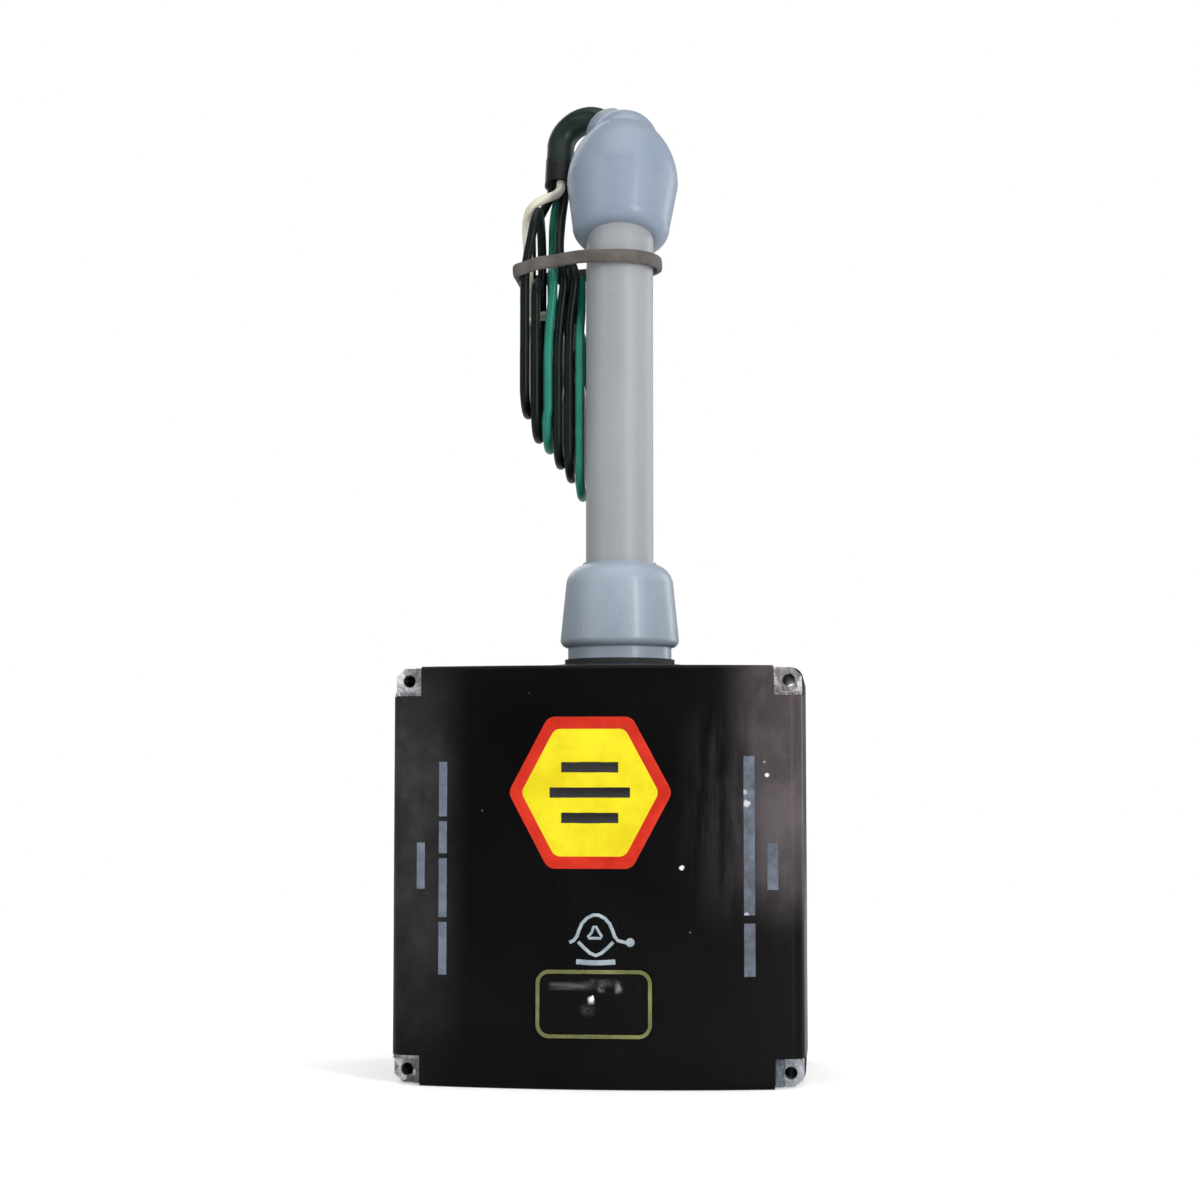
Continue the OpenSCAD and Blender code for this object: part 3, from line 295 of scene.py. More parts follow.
# One finish from its look: two tones, a worn tone at the edges, a range of roughness and a bump
def makeFinish(name, own):
    look = {**plainLook, "worn": own["light"], **own}
    material, tree, shader = newMaterial(name, look["metallic"], look["specular"], look["coat"])
    marks = useGroup(tree, mottle, Broad=look["broad"], Fine=look["fine"], Stretch=look["stretch"])
    wear = useGroup(tree, edgeWear, Width=look["edge"], Amount=look["wear"],
                    Breakup=look["breakup"])["Mask"]
    rubs = useGroup(tree, scuffs, Scale=look["scratch"], Amount=look["scuff"],
                    Specks=look["specks"])
    colour = blendColour(tree, marks["Tone"], look["dark"], look["light"])
    colour = blendColour(tree, wear, colour, look["worn"])
    colour = blendColour(tree, rubs["Mask"], colour, look["worn"])
    colour = blendColour(tree, rubs["Speck"], colour, look["dust"])
    place = objectPlace(tree)
    # Painted glints: random cells made bright, as if facets of the metal caught the light
    if "facets" in look:
        share = cellsAt(tree, place, look["facets"])[1]
        bright = spread(tree, share, *look["paintedGlintCells"])
        colour = blendColour(tree, bright, colour, look["bright"])
    for zone in look["zones"]:
        colour = blendColour(tree, zoneMask(tree, place, zone), colour, zone["colour"])
    for x, z, radius, tint in look["spots"]:
        colour = blendColour(tree, spotMask(tree, place, x, z, radius), colour, tint)
    rough = spread(tree, marks["Tone"], 0.0, 1.0, *look["rough"])
    for mask, more in ((rubs["Mask"], look["scuffRough"]), (wear, look["wearRough"])):
        rough = maths(tree, "ADD", rough, maths(tree, "MULTIPLY", mask, more), True)
    tree.links.new(colour, shader.inputs["Base Color"])
    tree.links.new(rough, shader.inputs["Roughness"])
    bump = put(tree, "ShaderNodeBump", {"Height": marks["Height"], "Strength": look["bump"],
                                        "Distance": look["depth"]})
    if look["round"] > 0:
        soft = useGroup(tree, softEdge, Radius=look["round"])
        tree.links.new(soft["Normal"], bump.inputs["Normal"])
    tree.links.new(bump.outputs["Normal"], shader.inputs["Normal"])
    return material


# Patches of another tone: painted reflections and painted glare on the front, painted highlights
# and other tones on the caps, streaks and a painted reflection in the lens, painted shade on the
# outlet connector
leftHalf, rightHalf = (-0.09, -0.08, -0.031, -0.03), (0.03, 0.031, 0.08, 0.09)
lowerHalf, upperHalf = (-0.01, -0.009, 0.06, 0.061), (0.06, 0.061, 0.14, 0.15)
frontFace = (-0.09, -0.08, -0.034, -0.031)
zones = {
    "housing_black": (
        # Painted reflection of the studio along the left edge of the curved front, patchy like dust
        dict(x=(-0.09, -0.08, -0.0555, -0.037), y=frontFace, z=(-0.02, 0.085, 0.118, 0.13),
             scale=40.0, colour=(0.05, 0.05, 0.051)),
        # Painted reflection of the studio along the right edge of the curved front, warm and patchy
        dict(x=(0.036, 0.056, 0.08, 0.09), y=frontFace, z=(0.044, 0.07, 0.13, 0.14),
             scale=70.0, least=0.55, colour=(0.105, 0.085, 0.091)),
        # Painted glare: faint upright streaks of reflected light on the right of the front
        dict(x=(0.022, 0.046, 0.08, 0.09), y=frontFace, z=(0.04, 0.075, 0.1, 0.118),
             scale=90.0, stretch=(3, 1, 0.35), least=0.0, amount=0.3, colour=(0.1, 0.1, 0.108)),
    ),
    "cap_metal": (
        dict(x=rightHalf, z=upperHalf, scale=420.0, least=0.0, amount=0.6,
             colour=(0.34, 0.29, 0.33)),
        dict(x=rightHalf, z=lowerHalf, scale=160.0, least=0.55, colour=(0.42, 0.45, 0.5)),
        dict(x=(0.0525, 0.053, 0.0556, 0.0562), z=lowerHalf, scale=160.0, least=0.7,
             colour=(0.11, 0.14, 0.19)),
        dict(x=leftHalf, z=lowerHalf, scale=420.0, least=0.0, amount=0.8,
             colour=(0.2, 0.2, 0.175)),
        # Painted highlight: a light patch on the lower left cap
        dict(x=(-0.0572, -0.0564, -0.0535, -0.0525), z=(0.0072, 0.008, 0.0108, 0.012),
             scale=500.0, least=0.3, colour=(0.68, 0.68, 0.58)),
        # Painted glint: a bright patch on the upper left cap
        dict(x=(-0.0562, -0.0552, -0.0535, -0.0525), z=(0.115, 0.1162, 0.119, 0.12),
             scale=300.0, least=0.75, colour=(0.86, 0.87, 0.9)),
    ),
    "strip_blue": (
        dict(x=(0.02, 0.03, 0.08, 0.09), z=(-0.1, -0.09, 0.14, 0.15), scale=200.0, least=0.2,
             colour=(0.075, 0.085, 0.11)),
    ),
    "lens_black": (
        dict(x=(-0.014, -0.0118, -0.004, 0.002), z=(0.0289, 0.0304, 0.0308, 0.032), scale=420.0,
             stretch=(0.25, 1, 2.5), least=0.1, colour=(0.085, 0.09, 0.095)),
        dict(x=(-0.004, -0.001, 0.004, 0.009), z=(0.0296, 0.0314, 0.0318, 0.033), scale=500.0,
             least=0.0, colour=(0.05, 0.055, 0.055)),
        dict(x=(0.0008, 0.002, 0.0025, 0.0038), z=(0.0282, 0.0296, 0.0302, 0.0322), scale=700.0,
             least=0.0, colour=(0.14, 0.15, 0.15)),
        dict(x=(0.0058, 0.0072, 0.0077, 0.009), z=(0.0278, 0.0294, 0.0302, 0.0324), scale=700.0,
             least=0.0, colour=(0.18, 0.19, 0.19)),
        # Painted reflection: a dim patch just below the lamp's glint
        dict(x=(-0.0046, -0.0028, -0.0012, 0.0012), z=(0.0212, 0.0232, 0.0242, 0.026),
             scale=600.0, least=0.0, colour=(0.035, 0.04, 0.04)),
    ),
    "fitting_grey": (
        # Painted shade: the outlet connector, the upper fitting, darker and bluer
        dict(z=(0.24, 0.25, 0.35, 0.36), least=0.75, amount=0.85, colour=(0.215, 0.27, 0.355)),
    ),
    "boot_rubber": (
        dict(z=(0.2, 0.21, 0.2938, 0.2946), least=0.8, colour=(0.007, 0.006, 0.006)),
    ),
}

# Small marks on the front: across, up, radius and colour
spots = {
    "housing_black": ((0.0512, 0.0926, 0.0008, (0.75, 0.76, 0.78)),
                      (0.026, 0.0652, 0.0009, (0.8, 0.8, 0.8)),
                      (0.0505, 0.0965, 0.0005, (0.3, 0.3, 0.31))),
    "strip_blue": ((0.0452, 0.0842, 0.0013, (0.55, 0.58, 0.64)),
                   (0.0446, 0.0875, 0.0009, (0.4, 0.43, 0.48)),
                   (0.0449, 0.0512, 0.0011, (0.42, 0.46, 0.52))),
    # Painted glint of the status lamp behind the lens: a soft halo with two bright points
    "lens_black": ((-0.0008, 0.0262, 0.0014, (0.3, 0.36, 0.4)),
                   (-0.0006, 0.0266, 0.001, (0.95, 0.97, 1.0)),
                   (-0.0003, 0.0274, 0.0005, (0.9, 0.93, 0.97))),
}

finishes = {
    "housing_black": dict(dark=(0.002, 0.002, 0.0022), light=(0.0045, 0.0045, 0.005),
                          worn=(0.05, 0.05, 0.05), rough=(0.28, 0.38), specular=0.07,
                          edge=0.0006, wear=0.35, scuff=0.14, bump=0.05, broad=14.0, round=0.0005),
    "plate_steel": dict(dark=(0.46, 0.47, 0.48), light=(0.62, 0.63, 0.64), worn=(0.8, 0.8, 0.8),
                        metallic=1.0, rough=(0.28, 0.46), stretch=(1, 1, 7), fine=500.0,
                        bump=0.25, scuff=0.5),
    "gasket_rubber": dict(dark=(0.03, 0.03, 0.03), light=(0.06, 0.06, 0.06), rough=(0.75, 0.95),
                          fine=2600.0, bump=0.5),
    # The caps' facets carry painted glints in bright cells
    "cap_metal": dict(dark=(0.09, 0.09, 0.095), light=(0.4, 0.4, 0.42), facets=300.0,
                      bright=(0.78, 0.79, 0.82), worn=(0.8, 0.8, 0.82), metallic=0.35,
                      broad=330.0, fine=700.0, bump=0.6, depth=0.0004, wear=0.6),
    "strip_blue": dict(dark=(0.1, 0.125, 0.17), light=(0.17, 0.205, 0.265),
                       worn=(0.32, 0.36, 0.42), rough=(0.4, 0.55), broad=180.0, bump=0.3,
                       edge=0.0004, wear=0.45, specular=0.3),
    "bezel_olive": dict(dark=(0.11, 0.12, 0.035), light=(0.22, 0.22, 0.07),
                        worn=(0.42, 0.42, 0.2), rough=(0.22, 0.38), broad=120.0, edge=0.0004,
                        wear=0.55),
    "lens_black": dict(dark=(0.0015, 0.0015, 0.0014), light=(0.003, 0.003, 0.003),
                       worn=(0.1, 0.1, 0.1), rough=(0.06, 0.14), specular=0.08, wear=0.1,
                       scuff=0.1, bump=0.02),
    "light_guide": dict(dark=(0.7, 0.76, 0.78), light=(0.85, 0.9, 0.92), rough=(0.35, 0.5)),
    "lamp": dict(dark=(0.45, 0.72, 0.55), light=(0.66, 0.88, 0.74)),
    "board_green": dict(dark=(0.02, 0.14, 0.06), light=(0.04, 0.24, 0.1), rough=(0.25, 0.42),
                        broad=70.0, worn=(0.4, 0.38, 0.24), bump=0.2),
    "screw_steel": dict(dark=(0.5, 0.5, 0.51), light=(0.72, 0.72, 0.74), metallic=1.0,
                        rough=(0.22, 0.4), broad=300.0, bump=0.3, worn=(0.86, 0.86, 0.86)),
    "buzzer_black": dict(dark=(0.014, 0.014, 0.016), light=(0.03, 0.03, 0.033), rough=(0.5, 0.7),
                         fine=1800.0, bump=0.35),
    "washer_rubber": dict(dark=(0.012, 0.012, 0.012), light=(0.028, 0.028, 0.028),
                          rough=(0.6, 0.85), fine=2200.0, bump=0.4),
    "fitting_grey": dict(dark=(0.275, 0.33, 0.4), light=(0.325, 0.385, 0.46),
                         worn=(0.5, 0.55, 0.6), rough=(0.34, 0.46), specular=0.4, coat=0.1,
                         broad=30.0, fine=420.0, bump=0.1, edge=0.0008, wear=0.35, specks=0.15),
    "conduit_grey": dict(dark=(0.29, 0.305, 0.33), light=(0.33, 0.345, 0.37),
                         worn=(0.5, 0.5, 0.5), rough=(0.36, 0.48), specular=0.4,
                         stretch=(1, 1, 0.3), broad=40.0, fine=600.0, bump=0.08, scuff=0.3),
    "nut_steel": dict(dark=(0.5, 0.51, 0.52), light=(0.7, 0.71, 0.72), metallic=1.0,
                      rough=(0.25, 0.45), bump=0.3),
    "bushing_cream": dict(dark=(0.6, 0.56, 0.45), light=(0.72, 0.69, 0.58), rough=(0.4, 0.55),
                          fine=1500.0),
    "ring_pale": dict(dark=(0.2, 0.245, 0.29), light=(0.3, 0.35, 0.4), rough=(0.35, 0.5),
                      broad=120.0, worn=(0.5, 0.55, 0.6), bump=0.1),
    "boot_rubber": dict(dark=(0.003, 0.009, 0.007), light=(0.01, 0.024, 0.018),
                        worn=(0.03, 0.055, 0.045), rough=(0.26, 0.4), specular=0.25, broad=60.0,
                        fine=1300.0, bump=0.12, wear=0.3),
    "inner_wire": dict(dark=(0.012, 0.012, 0.012), light=(0.03, 0.03, 0.03), rough=(0.25, 0.4)),
    "standoff_brass": dict(dark=(0.5, 0.36, 0.13), light=(0.72, 0.56, 0.24), metallic=1.0,
                           rough=(0.2, 0.4)),
    "varistor_blue": dict(dark=(0.02, 0.08, 0.26), light=(0.045, 0.14, 0.38), rough=(0.22, 0.4),
                          coat=0.3, broad=90.0, bump=0.25),
    "fuse_tan": dict(dark=(0.42, 0.36, 0.27), light=(0.56, 0.5, 0.4), rough=(0.5, 0.7),
                     fine=1800.0),
    "capacitor_yellow": dict(dark=(0.5, 0.37, 0.05), light=(0.66, 0.51, 0.08), bump=0.2),
    "block_grey": dict(dark=(0.035, 0.04, 0.045), light=(0.065, 0.07, 0.075), rough=(0.45, 0.65),
                       fine=1600.0),
    "sheet_paper": dict(dark=(0.55, 0.5, 0.36), light=(0.7, 0.65, 0.5), rough=(0.7, 0.9),
                        fine=2400.0, stretch=(1, 1, 3), bump=0.4),
    "lug_brass": dict(dark=(0.55, 0.5, 0.36), light=(0.74, 0.7, 0.55), metallic=1.0,
                      rough=(0.24, 0.42)),
    "ground_green": dict(dark=(0.04, 0.22, 0.09), light=(0.08, 0.36, 0.16), metallic=0.6,
                         rough=(0.26, 0.42)),
    "bond_green": dict(dark=(0.03, 0.18, 0.06), light=(0.06, 0.28, 0.1), rough=(0.28, 0.42)),
    "band_rubber": dict(dark=(0.065, 0.056, 0.05), light=(0.14, 0.124, 0.114),
                        worn=(0.24, 0.22, 0.2), rough=(0.6, 0.8), broad=120.0, fine=1700.0,
                        bump=0.35),
    "wire_black": dict(dark=(0.0015, 0.004, 0.0038), light=(0.0045, 0.0105, 0.0095),
                       worn=(0.03, 0.05, 0.045), rough=(0.34, 0.46), specular=0.16, broad=50.0,
                       bump=0.05, wear=0.0, round=0, scuff=0.15),
    "wire_green": dict(dark=(0.008, 0.14, 0.095), light=(0.018, 0.22, 0.155),
                       worn=(0.12, 0.4, 0.3), rough=(0.3, 0.42), specular=0.25, broad=50.0,
                       bump=0.05, wear=0.0, round=0),
    "wire_white": dict(dark=(0.6, 0.56, 0.44), light=(0.76, 0.73, 0.62), worn=(0.4, 0.38, 0.3),
                       rough=(0.3, 0.42), broad=60.0, bump=0.06, wear=0.0, round=0),
}
slotOf = {row["node"]: row["material_slot"] for row in frame["record"]["subparts"]}
materials = {name: makeFinish("finish_" + name, {**look, "zones": zones.get(name, ()),
                                                 "spots": spots.get(name, ())})
             for name, look in finishes.items()}
for name, node in nodes.items():
    node.data.materials.clear()
    node.data.materials.append(materials[slotOf[name]])
print("surge protector: finishes on the nodes,", len(materials))

# Leads
lead = {
    "diameter": 0.003,
    "stemX": 0.004,            # the conduit's axis, right of the housing's middle
    "mouthZ": 0.264221,        # lowest rim of the outlet connector, where the routes' heights start
    "firstColumn": -0.012675, "columnPitch": 0.00355,
    "footZ": (-0.0738, -0.0678, -0.0633, -0.0583, -0.0548, -0.0468),
    "bendStart": 0.003,        # a run ends this far above its bottom turn
    "back": 0.0167, "front": -0.0007, "innerBack": 0.01365, "innerFront": 0.00235,
    "whiteAside": -0.0005,     # the white lead's inner runs lie this far to the left
    "step": 0.0008, "turnSteps": 9, "roundness": 3,
    "ends": ((-0.02272, 0.02198, 0.02148), (-0.01983, 0.02099, 0.02184),
             (-0.02377, 0.01926, 0.02247), (-0.02088, 0.01827, 0.02283)),
}
foot = lead["footZ"]
column = [lead["firstColumn"] - lead["columnPitch"] * i for i in range(len(foot))]
runEnd = [z + lead["bendStart"] for z in foot]
back, front, innerBack, innerFront = (lead[k] for k in ("back", "front", "innerBack", "innerFront"))
aside = lead["whiteAside"]


def ease(share):
    share = min(max(share, 0), 1)
    return share * share * (3 - 2 * share)


def straightRun(x, y, fromZ, toZ, steps=4):
    return [(x, y, fromZ + (toZ - fromZ) * i / steps) for i in range(steps + 1)]


# A half circle seen from the side, which may also move across between two shares of its way
def halfTurn(startX, startY, endX, endY, z, up=False, start=0.0, stop=1.0, steps=10):
    points = []
    for i in range(steps + 1):
        angle, side = math.pi * i / steps, ease((i / steps - start) / (stop - start))
        points.append((startX + (endX - startX) * side,
                       (startY + endY) / 2 + (startY - endY) / 2 * math.cos(angle),
                       z + abs(endY - startY) / 2 * math.sin(angle) * (1 if up else -1)))
    return points


def bottomTurn(i, startY, endY, aside=0.0):
    x = column[i] + aside
    return halfTurn(x, startY, x, endY, foot[i], steps=lead["turnSteps"])


def descend(i, y, fromZ, steps=4, aside=0.0):
    return straightRun(column[i] + aside, y, fromZ, runEnd[i], steps)


def climb(i, y, toZ, steps=4, aside=0.0):
    return straightRun(column[i] + aside, y, runEnd[i], toZ, steps)


# Each lead leaves the boot by its own route, then folds down and up its columns of the hank
blackOuter = [
    lead["ends"][2], (-0.0243, 0.0187, 0.0186), (-0.0264, 0.0181, 0.014),
    (-0.0287, 0.0176, 0.0096), (-0.0304, 0.0171, 0.0056), (-0.0304, 0.0167, 0.0012),
    *descend(5, back, -0.006, 5), *bottomTurn(5, back, front), *climb(5, front, -0.016),
    (-0.0302, front, -0.01), (-0.0294, front, -0.0048), (-0.0284, front, 0.0002),
    (-0.0277, -0.0001, 0.0044), (-0.0272, 0.0019, 0.008), (-0.027, 0.0049, 0.0102),
    (-0.0269, 0.0082, 0.0106), (-0.0269, 0.0114, 0.009), (-0.0269, 0.014, 0.0058),
    (-0.0269, 0.0158, 0.0014), (column[4], 0.0166, -0.0044),
    *descend(4, back, -0.014), *bottomTurn(4, back, front), *climb(4, front, -0.025),
    *halfTurn(column[4], front, column[4], innerBack, -0.02, True),
    *descend(4, innerBack, -0.025), *bottomTurn(4, innerBack, innerFront),
    *climb(4, innerFront, -0.03),
]
blackInner = [
    lead["ends"][1], (-0.0199, 0.0192, 0.0176), (-0.0201, 0.0164, 0.0134),
    (-0.0202, 0.013, 0.0088), (-0.0201, 0.009, 0.004), (-0.0199, 0.005, -0.0006),
    (-0.0194, 0.0018, -0.0052), (-0.0184, 0, -0.01), (-0.0178, front, -0.015),
    (-0.0184, front, -0.0205), (-0.019, front, -0.026), (-0.0195, front, -0.032),
    *descend(2, front, -0.038, 3), *bottomTurn(2, front, back), *climb(2, back, -0.019),
    *halfTurn(column[2], back, -0.0144, front, -0.015, True, 0.12, 0.95),
    (-0.0151, front, -0.0205), (-0.0158, front, -0.026), (-0.0161, front, -0.032),
    *descend(1, front, -0.038), *bottomTurn(1, front, back), *climb(1, back, -0.025),
    *halfTurn(column[1], back, column[1], innerFront, -0.02, True),
    *descend(1, innerFront, -0.025), *bottomTurn(1, innerFront, innerBack),
    *climb(1, innerBack, -0.042, 3),
]
greenRoute = [
    lead["ends"][0], (-0.0226, 0.0209, 0.017), (-0.0231, 0.0189, 0.012),
    (-0.0233, 0.0173, 0.007), (-0.0233, 0.0167, 0.002),
    *descend(3, back, -0.004, 5), *bottomTurn(3, back, front),
    *straightRun(-0.0229, front, runEnd[3], -0.038, 3),
    (-0.0226, front, -0.032), (-0.0222, front, -0.026), (-0.0216, front, -0.0205),
    *halfTurn(-0.0213, front, column[3], innerBack, -0.016, True, 0.1, 0.9, 9),
    *descend(3, innerBack, -0.022), *bottomTurn(3, innerBack, innerFront),
    *climb(3, innerFront, -0.042, 3),
    (-0.0231, 0.0026, -0.037), (-0.0222, 0.0036, -0.0326), (-0.0204, 0.005, -0.0294),
    (-0.0182, 0.0066, -0.0276), (-0.016, 0.0086, -0.0272), (-0.0142, 0.011, -0.0284),
    (-0.0131, 0.0135, -0.0314), (-0.0127, 0.0156, -0.0356), (column[0], 0.0166, -0.0406),
    *descend(0, back, -0.046), *bottomTurn(0, back, front), *climb(0, front, -0.034),
    (-0.0127, -0.0005, -0.0305), (-0.0126, 0.0005, -0.0272), (-0.0125, 0.0016, -0.0238),
    (-0.0125, 0.0022, -0.0202), (-0.0125, 0.0023, -0.0162), (-0.0125, 0.0023, -0.0122),
]
whiteRoute = [
    lead["ends"][3], (-0.021, 0.0169, 0.0202), (-0.0221, 0.015, 0.0182),
    (-0.0242, 0.0129, 0.0168), (-0.0269, 0.0112, 0.0152), (-0.0295, 0.01, 0.0129),
    (-0.0308, 0.009, 0.009), (-0.031, 0.0084, 0.005), (-0.0307, 0.0083, 0.0004),
    (-0.0306, 0.0088, -0.003), (-0.0305, 0.0102, -0.008), (-0.0306, 0.0122, -0.0136),
    (-0.0308, 0.0135, -0.0196),
    *descend(5, innerBack, -0.025, 3, aside), *bottomTurn(5, innerBack, innerFront, aside),
    *straightRun(column[5] + aside, innerFront, foot[5] + 0.002, -0.038, 2),
    (-0.0308, 0.0027, -0.0334), (-0.0301, 0.0038, -0.029), (-0.0283, 0.0052, -0.0256),
    (-0.0262, 0.0066, -0.0238), (-0.0238, 0.008, -0.0236), (-0.0218, 0.0098, -0.025),
    (-0.0208, 0.0118, -0.028), (-0.0204, 0.0131, -0.0324), (column[2] + aside, 0.0136, -0.0374),
    *descend(2, innerBack, -0.042, 3, aside), *bottomTurn(2, innerBack, innerFront, aside),
    *climb(2, innerFront, -0.056, 1, aside),
    (-0.02, 0.0028, -0.051), (-0.0192, 0.004, -0.0468), (-0.0178, 0.0058, -0.0442),
    (-0.0161, 0.008, -0.0434), (-0.0146, 0.0102, -0.0444), (-0.0135, 0.0122, -0.0476),
    (-0.0132, 0.0134, -0.0528),
    *straightRun(column[0] + aside, innerBack, -0.06, foot[0] + 0.001, 2),
    *bottomTurn(0, innerBack, innerFront, aside), *climb(0, innerFront, -0.036, 4, aside),
]


# A smooth curve through the route's points, with more samples where they lie apart
def smoothPath(points, step, tiny=1e-9):
    points = [Vector((x + lead["stemX"], y, z + lead["mouthZ"])) for x, y, z in points]
    points = [2 * points[0] - points[1], *points, 2 * points[-1] - points[-2]]
    path = []
    for i in range(1, len(points) - 2):
        before, start, stop, after = points[i - 1:i + 3]
        gapA, gapB, gapC = (max((b - a).length, tiny) ** 0.5
                            for a, b in ((before, start), (start, stop), (stop, after)))
        leave = ((start - before) / gapA - (stop - before) / (gapA + gapB)
                 + (stop - start) / gapB) * gapB
        reach = ((stop - start) / gapB - (after - start) / (gapB + gapC)
                 + (after - stop) / gapC) * gapB
        count = max(1, round((stop - start).length / step))
        for k in range(count):
            t = k / count
            path.append((2 * t**3 - 3 * t**2 + 1) * start + (t**3 - 2 * t**2 + t) * leave
                        + (-2 * t**3 + 3 * t**2) * stop + (t**3 - t**2) * reach)
    return path + [points[-2]]


def pathLength(path):
    return sum((b - a).length for a, b in zip(path, path[1:]))


def addCurve(name, path, radius, material):
    curve = bpy.data.curves.new(name, "CURVE")
    curve.dimensions = "3D"
    curve.bevel_depth = radius
    curve.bevel_resolution = lead["roundness"]
    curve.use_fill_caps = True
    spline = curve.splines.new("POLY")
    spline.points.add(len(path) - 1)
    for point, place in zip(spline.points, path):
        point.co = (*place, 1)
    spline.use_smooth = True
    curve.materials.append(material)
    piece = bpy.data.objects.new(name, curve)
    scene.collection.objects.link(piece)
    return piece


for name, route, slot, stands in (
        ("lead_black_outer", blackOuter, "wire_black", ("lead_black_a", "lead_hank")),
        ("lead_black_inner", blackInner, "wire_black", ("lead_black_b",)),
        ("lead_earth", greenRoute, "wire_green", ("lead_green",)),
        ("lead_neutral", whiteRoute, "wire_white", ("lead_white",))):
    path = smoothPath(route, lead["step"])
    piece = addCurve(name, path, lead["diameter"] / 2, materials[slot])
    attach(piece, "root")
    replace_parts(piece, *stands)
    print("surge protector:", name, round(pathLength(path) * 1000, 1), "mm")

sharpAngle = math.radians(40)     # faces that meet at a wider angle keep a sharp edge


def addMesh(name, vertices, faces, material):
    mesh = bpy.data.meshes.new(name)
    mesh.from_pydata([tuple(v) for v in vertices], [], faces)
    builder = bmesh.new()
    builder.from_mesh(mesh)
    bmesh.ops.recalc_face_normals(builder, faces=builder.faces)
    builder.to_mesh(mesh)
    builder.free()
    mesh.shade_smooth()
    mesh.set_sharp_from_angle(angle=sharpAngle)
    mesh.materials.append(material)
    piece = bpy.data.objects.new(name, mesh)
    scene.collection.objects.link(piece)
    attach(piece, "root")
    return piece


# The curved front of the housing, as a depth for each place across it
face = {"radius": 0.24425, "centreY": 0.20085}


def frontY(x):
    return face["centreY"] - math.sqrt(face["radius"] ** 2 - x * x)


def roundedOutline(corners, radius, steps=6):
    outline, count = [], len(corners)
    for i in range(count):
        here = Vector(corners[i])
        toLast = (Vector(corners[i - 1]) - here).normalized()
        toNext = (Vector(corners[(i + 1) % count]) - here).normalized()
        half = toLast.angle(toNext) / 2
        centre = here + (toLast + toNext).normalized() * (radius / math.sin(half))
        arm = here + toLast * (radius / math.tan(half)) - centre
        start = math.atan2(arm[1], arm[0])
        for k in range(steps + 1):
            angle = start + (math.pi - 2 * half) * k / steps
            outline.append(centre + Vector((math.cos(angle), math.sin(angle))) * radius)
    return outline


# The loops that carry a plaque over the curve, as shares of its outline, the least step between
# two of them, and a hollow's rim as a share of the inset and of the height
plaqueLoops = {"shares": (0.8, 0.6, 0.4, 0.2), "apart": 0.02, "rimInset": 0.5, "rimHeight": 0.6}


# A thin plaque on the curved front: loops from the outline inwards, each with its own height.
# A hollow one comes down to the front again at that share of its outline
def plaque(name, centre, outline, inset, heights, material, hollow=0.0):
    top = heights[-1]
    plan = [(1.0 - inset * k if k else 1.0, height)
            for k, height in zip([0, *range(len(heights) - 1)], heights)]
    if hollow:
        plan += [(hollow + inset * plaqueLoops["rimInset"], top),
                 (hollow, top * plaqueLoops["rimHeight"]), (hollow, 0.0)]
    else:
        plan += [(share, top) for share in plaqueLoops["shares"]
                 if share < plan[-1][0] - plaqueLoops["apart"]]
    rows, vertices, faces = [], [], []
    for share, height in plan:
        row = []
        for point in outline:
            x, z = centre[0] + point[0] * share, centre[1] + point[1] * share
            row.append(len(vertices))
            vertices.append((x, frontY(x) - height, z))
        rows.append(row)
    count = len(outline)
    for upper, lower in zip(rows, rows[1:]):
        for k in range(count):
            faces.append((upper[k], upper[(k + 1) % count], lower[(k + 1) % count], lower[k]))
    if not hollow:
        vertices.append((centre[0], frontY(centre[0]) - top, centre[1]))
        for k in range(count):
            faces.append((rows[-1][k], rows[-1][(k + 1) % count], len(vertices) - 1))
    return addMesh(name, vertices, faces, material)


# A ribbon's section: places across it in widths and up it in heights
ribbonSection = ((-0.5, 0.0), (-0.5, 0.55), (-0.36, 1.0), (0.36, 1.0), (0.5, 0.55), (0.5, 0.0))


# A raised line on the curved front, such as a printed mark
def ribbon(name, points, width, height, material, closed=False):
    vertices, faces = [], []
    count, n = len(points), len(ribbonSection)
    for i, point in enumerate(points):
        here = Vector(point)
        after = Vector(points[(i + 1) % count] if closed else points[min(i + 1, count - 1)])
        before = Vector(points[i - 1] if closed or i else points[0])
        along = (after - before).normalized()
        side = Vector((-along[1], along[0]))
        for across, rise in ribbonSection:
            place = here + side * (across * width)
            vertices.append((place[0], frontY(place[0]) - rise * height, place[1]))
    for i in range(count if closed else count - 1):
        a, b = i * n, ((i + 1) % count) * n
        for k in range(n - 1):
            faces.append((a + k, a + k + 1, b + k + 1, b + k))
    if not closed:
        faces.append(tuple(range(n)))
        faces.append(tuple(range((count - 1) * n, count * n)))
    return addMesh(name, vertices, faces, material)


# Rubber band around the hank and the conduit: a rounded section that rises and falls on its way
band = {
    "height": 0.2546,
    "conduit": ((0.00088, 0.01127), (0.00176, 0.01143)),     # depth and radius, under and over it
    "hankCorners": ((-0.0307, -0.0007), (-0.0307, 0.0167), (-0.0124, 0.0167)),
    "hankCorner": 0.0015, "cornerPoints": 24,
    "gap": 0.00012, "halfThick": 0.00105, "halfTall": 0.0021,
    "squareAcross": 0.7, "squareUp": 0.8,                     # 1 would be round
    "uneven": 0.12, "waves": 3, "phase": 0.7,
    "rise": ((-0.034, -0.0009), (-0.024, 0.0009), (-0.0113, 0.0018), (0.0, 0.0013),
             (0.014, 0.0011)),                                # across and up
    "inside": (-0.012, 0.006),                                # a place that the band goes round
    "stations": 160, "sides": 14,
}


def bandRise(x):
    for (left, low), (right, high) in zip(band["rise"], band["rise"][1:]):
        if x <= right:
            return low + (high - low) * ease((x - left) / (right - left))
    return band["rise"][-1][1]


def circlePoints(x, y, radius, count=72):
    return [Vector((x + radius * math.cos(math.tau * k / count),
                    y + radius * math.sin(math.tau * k / count))) for k in range(count)]


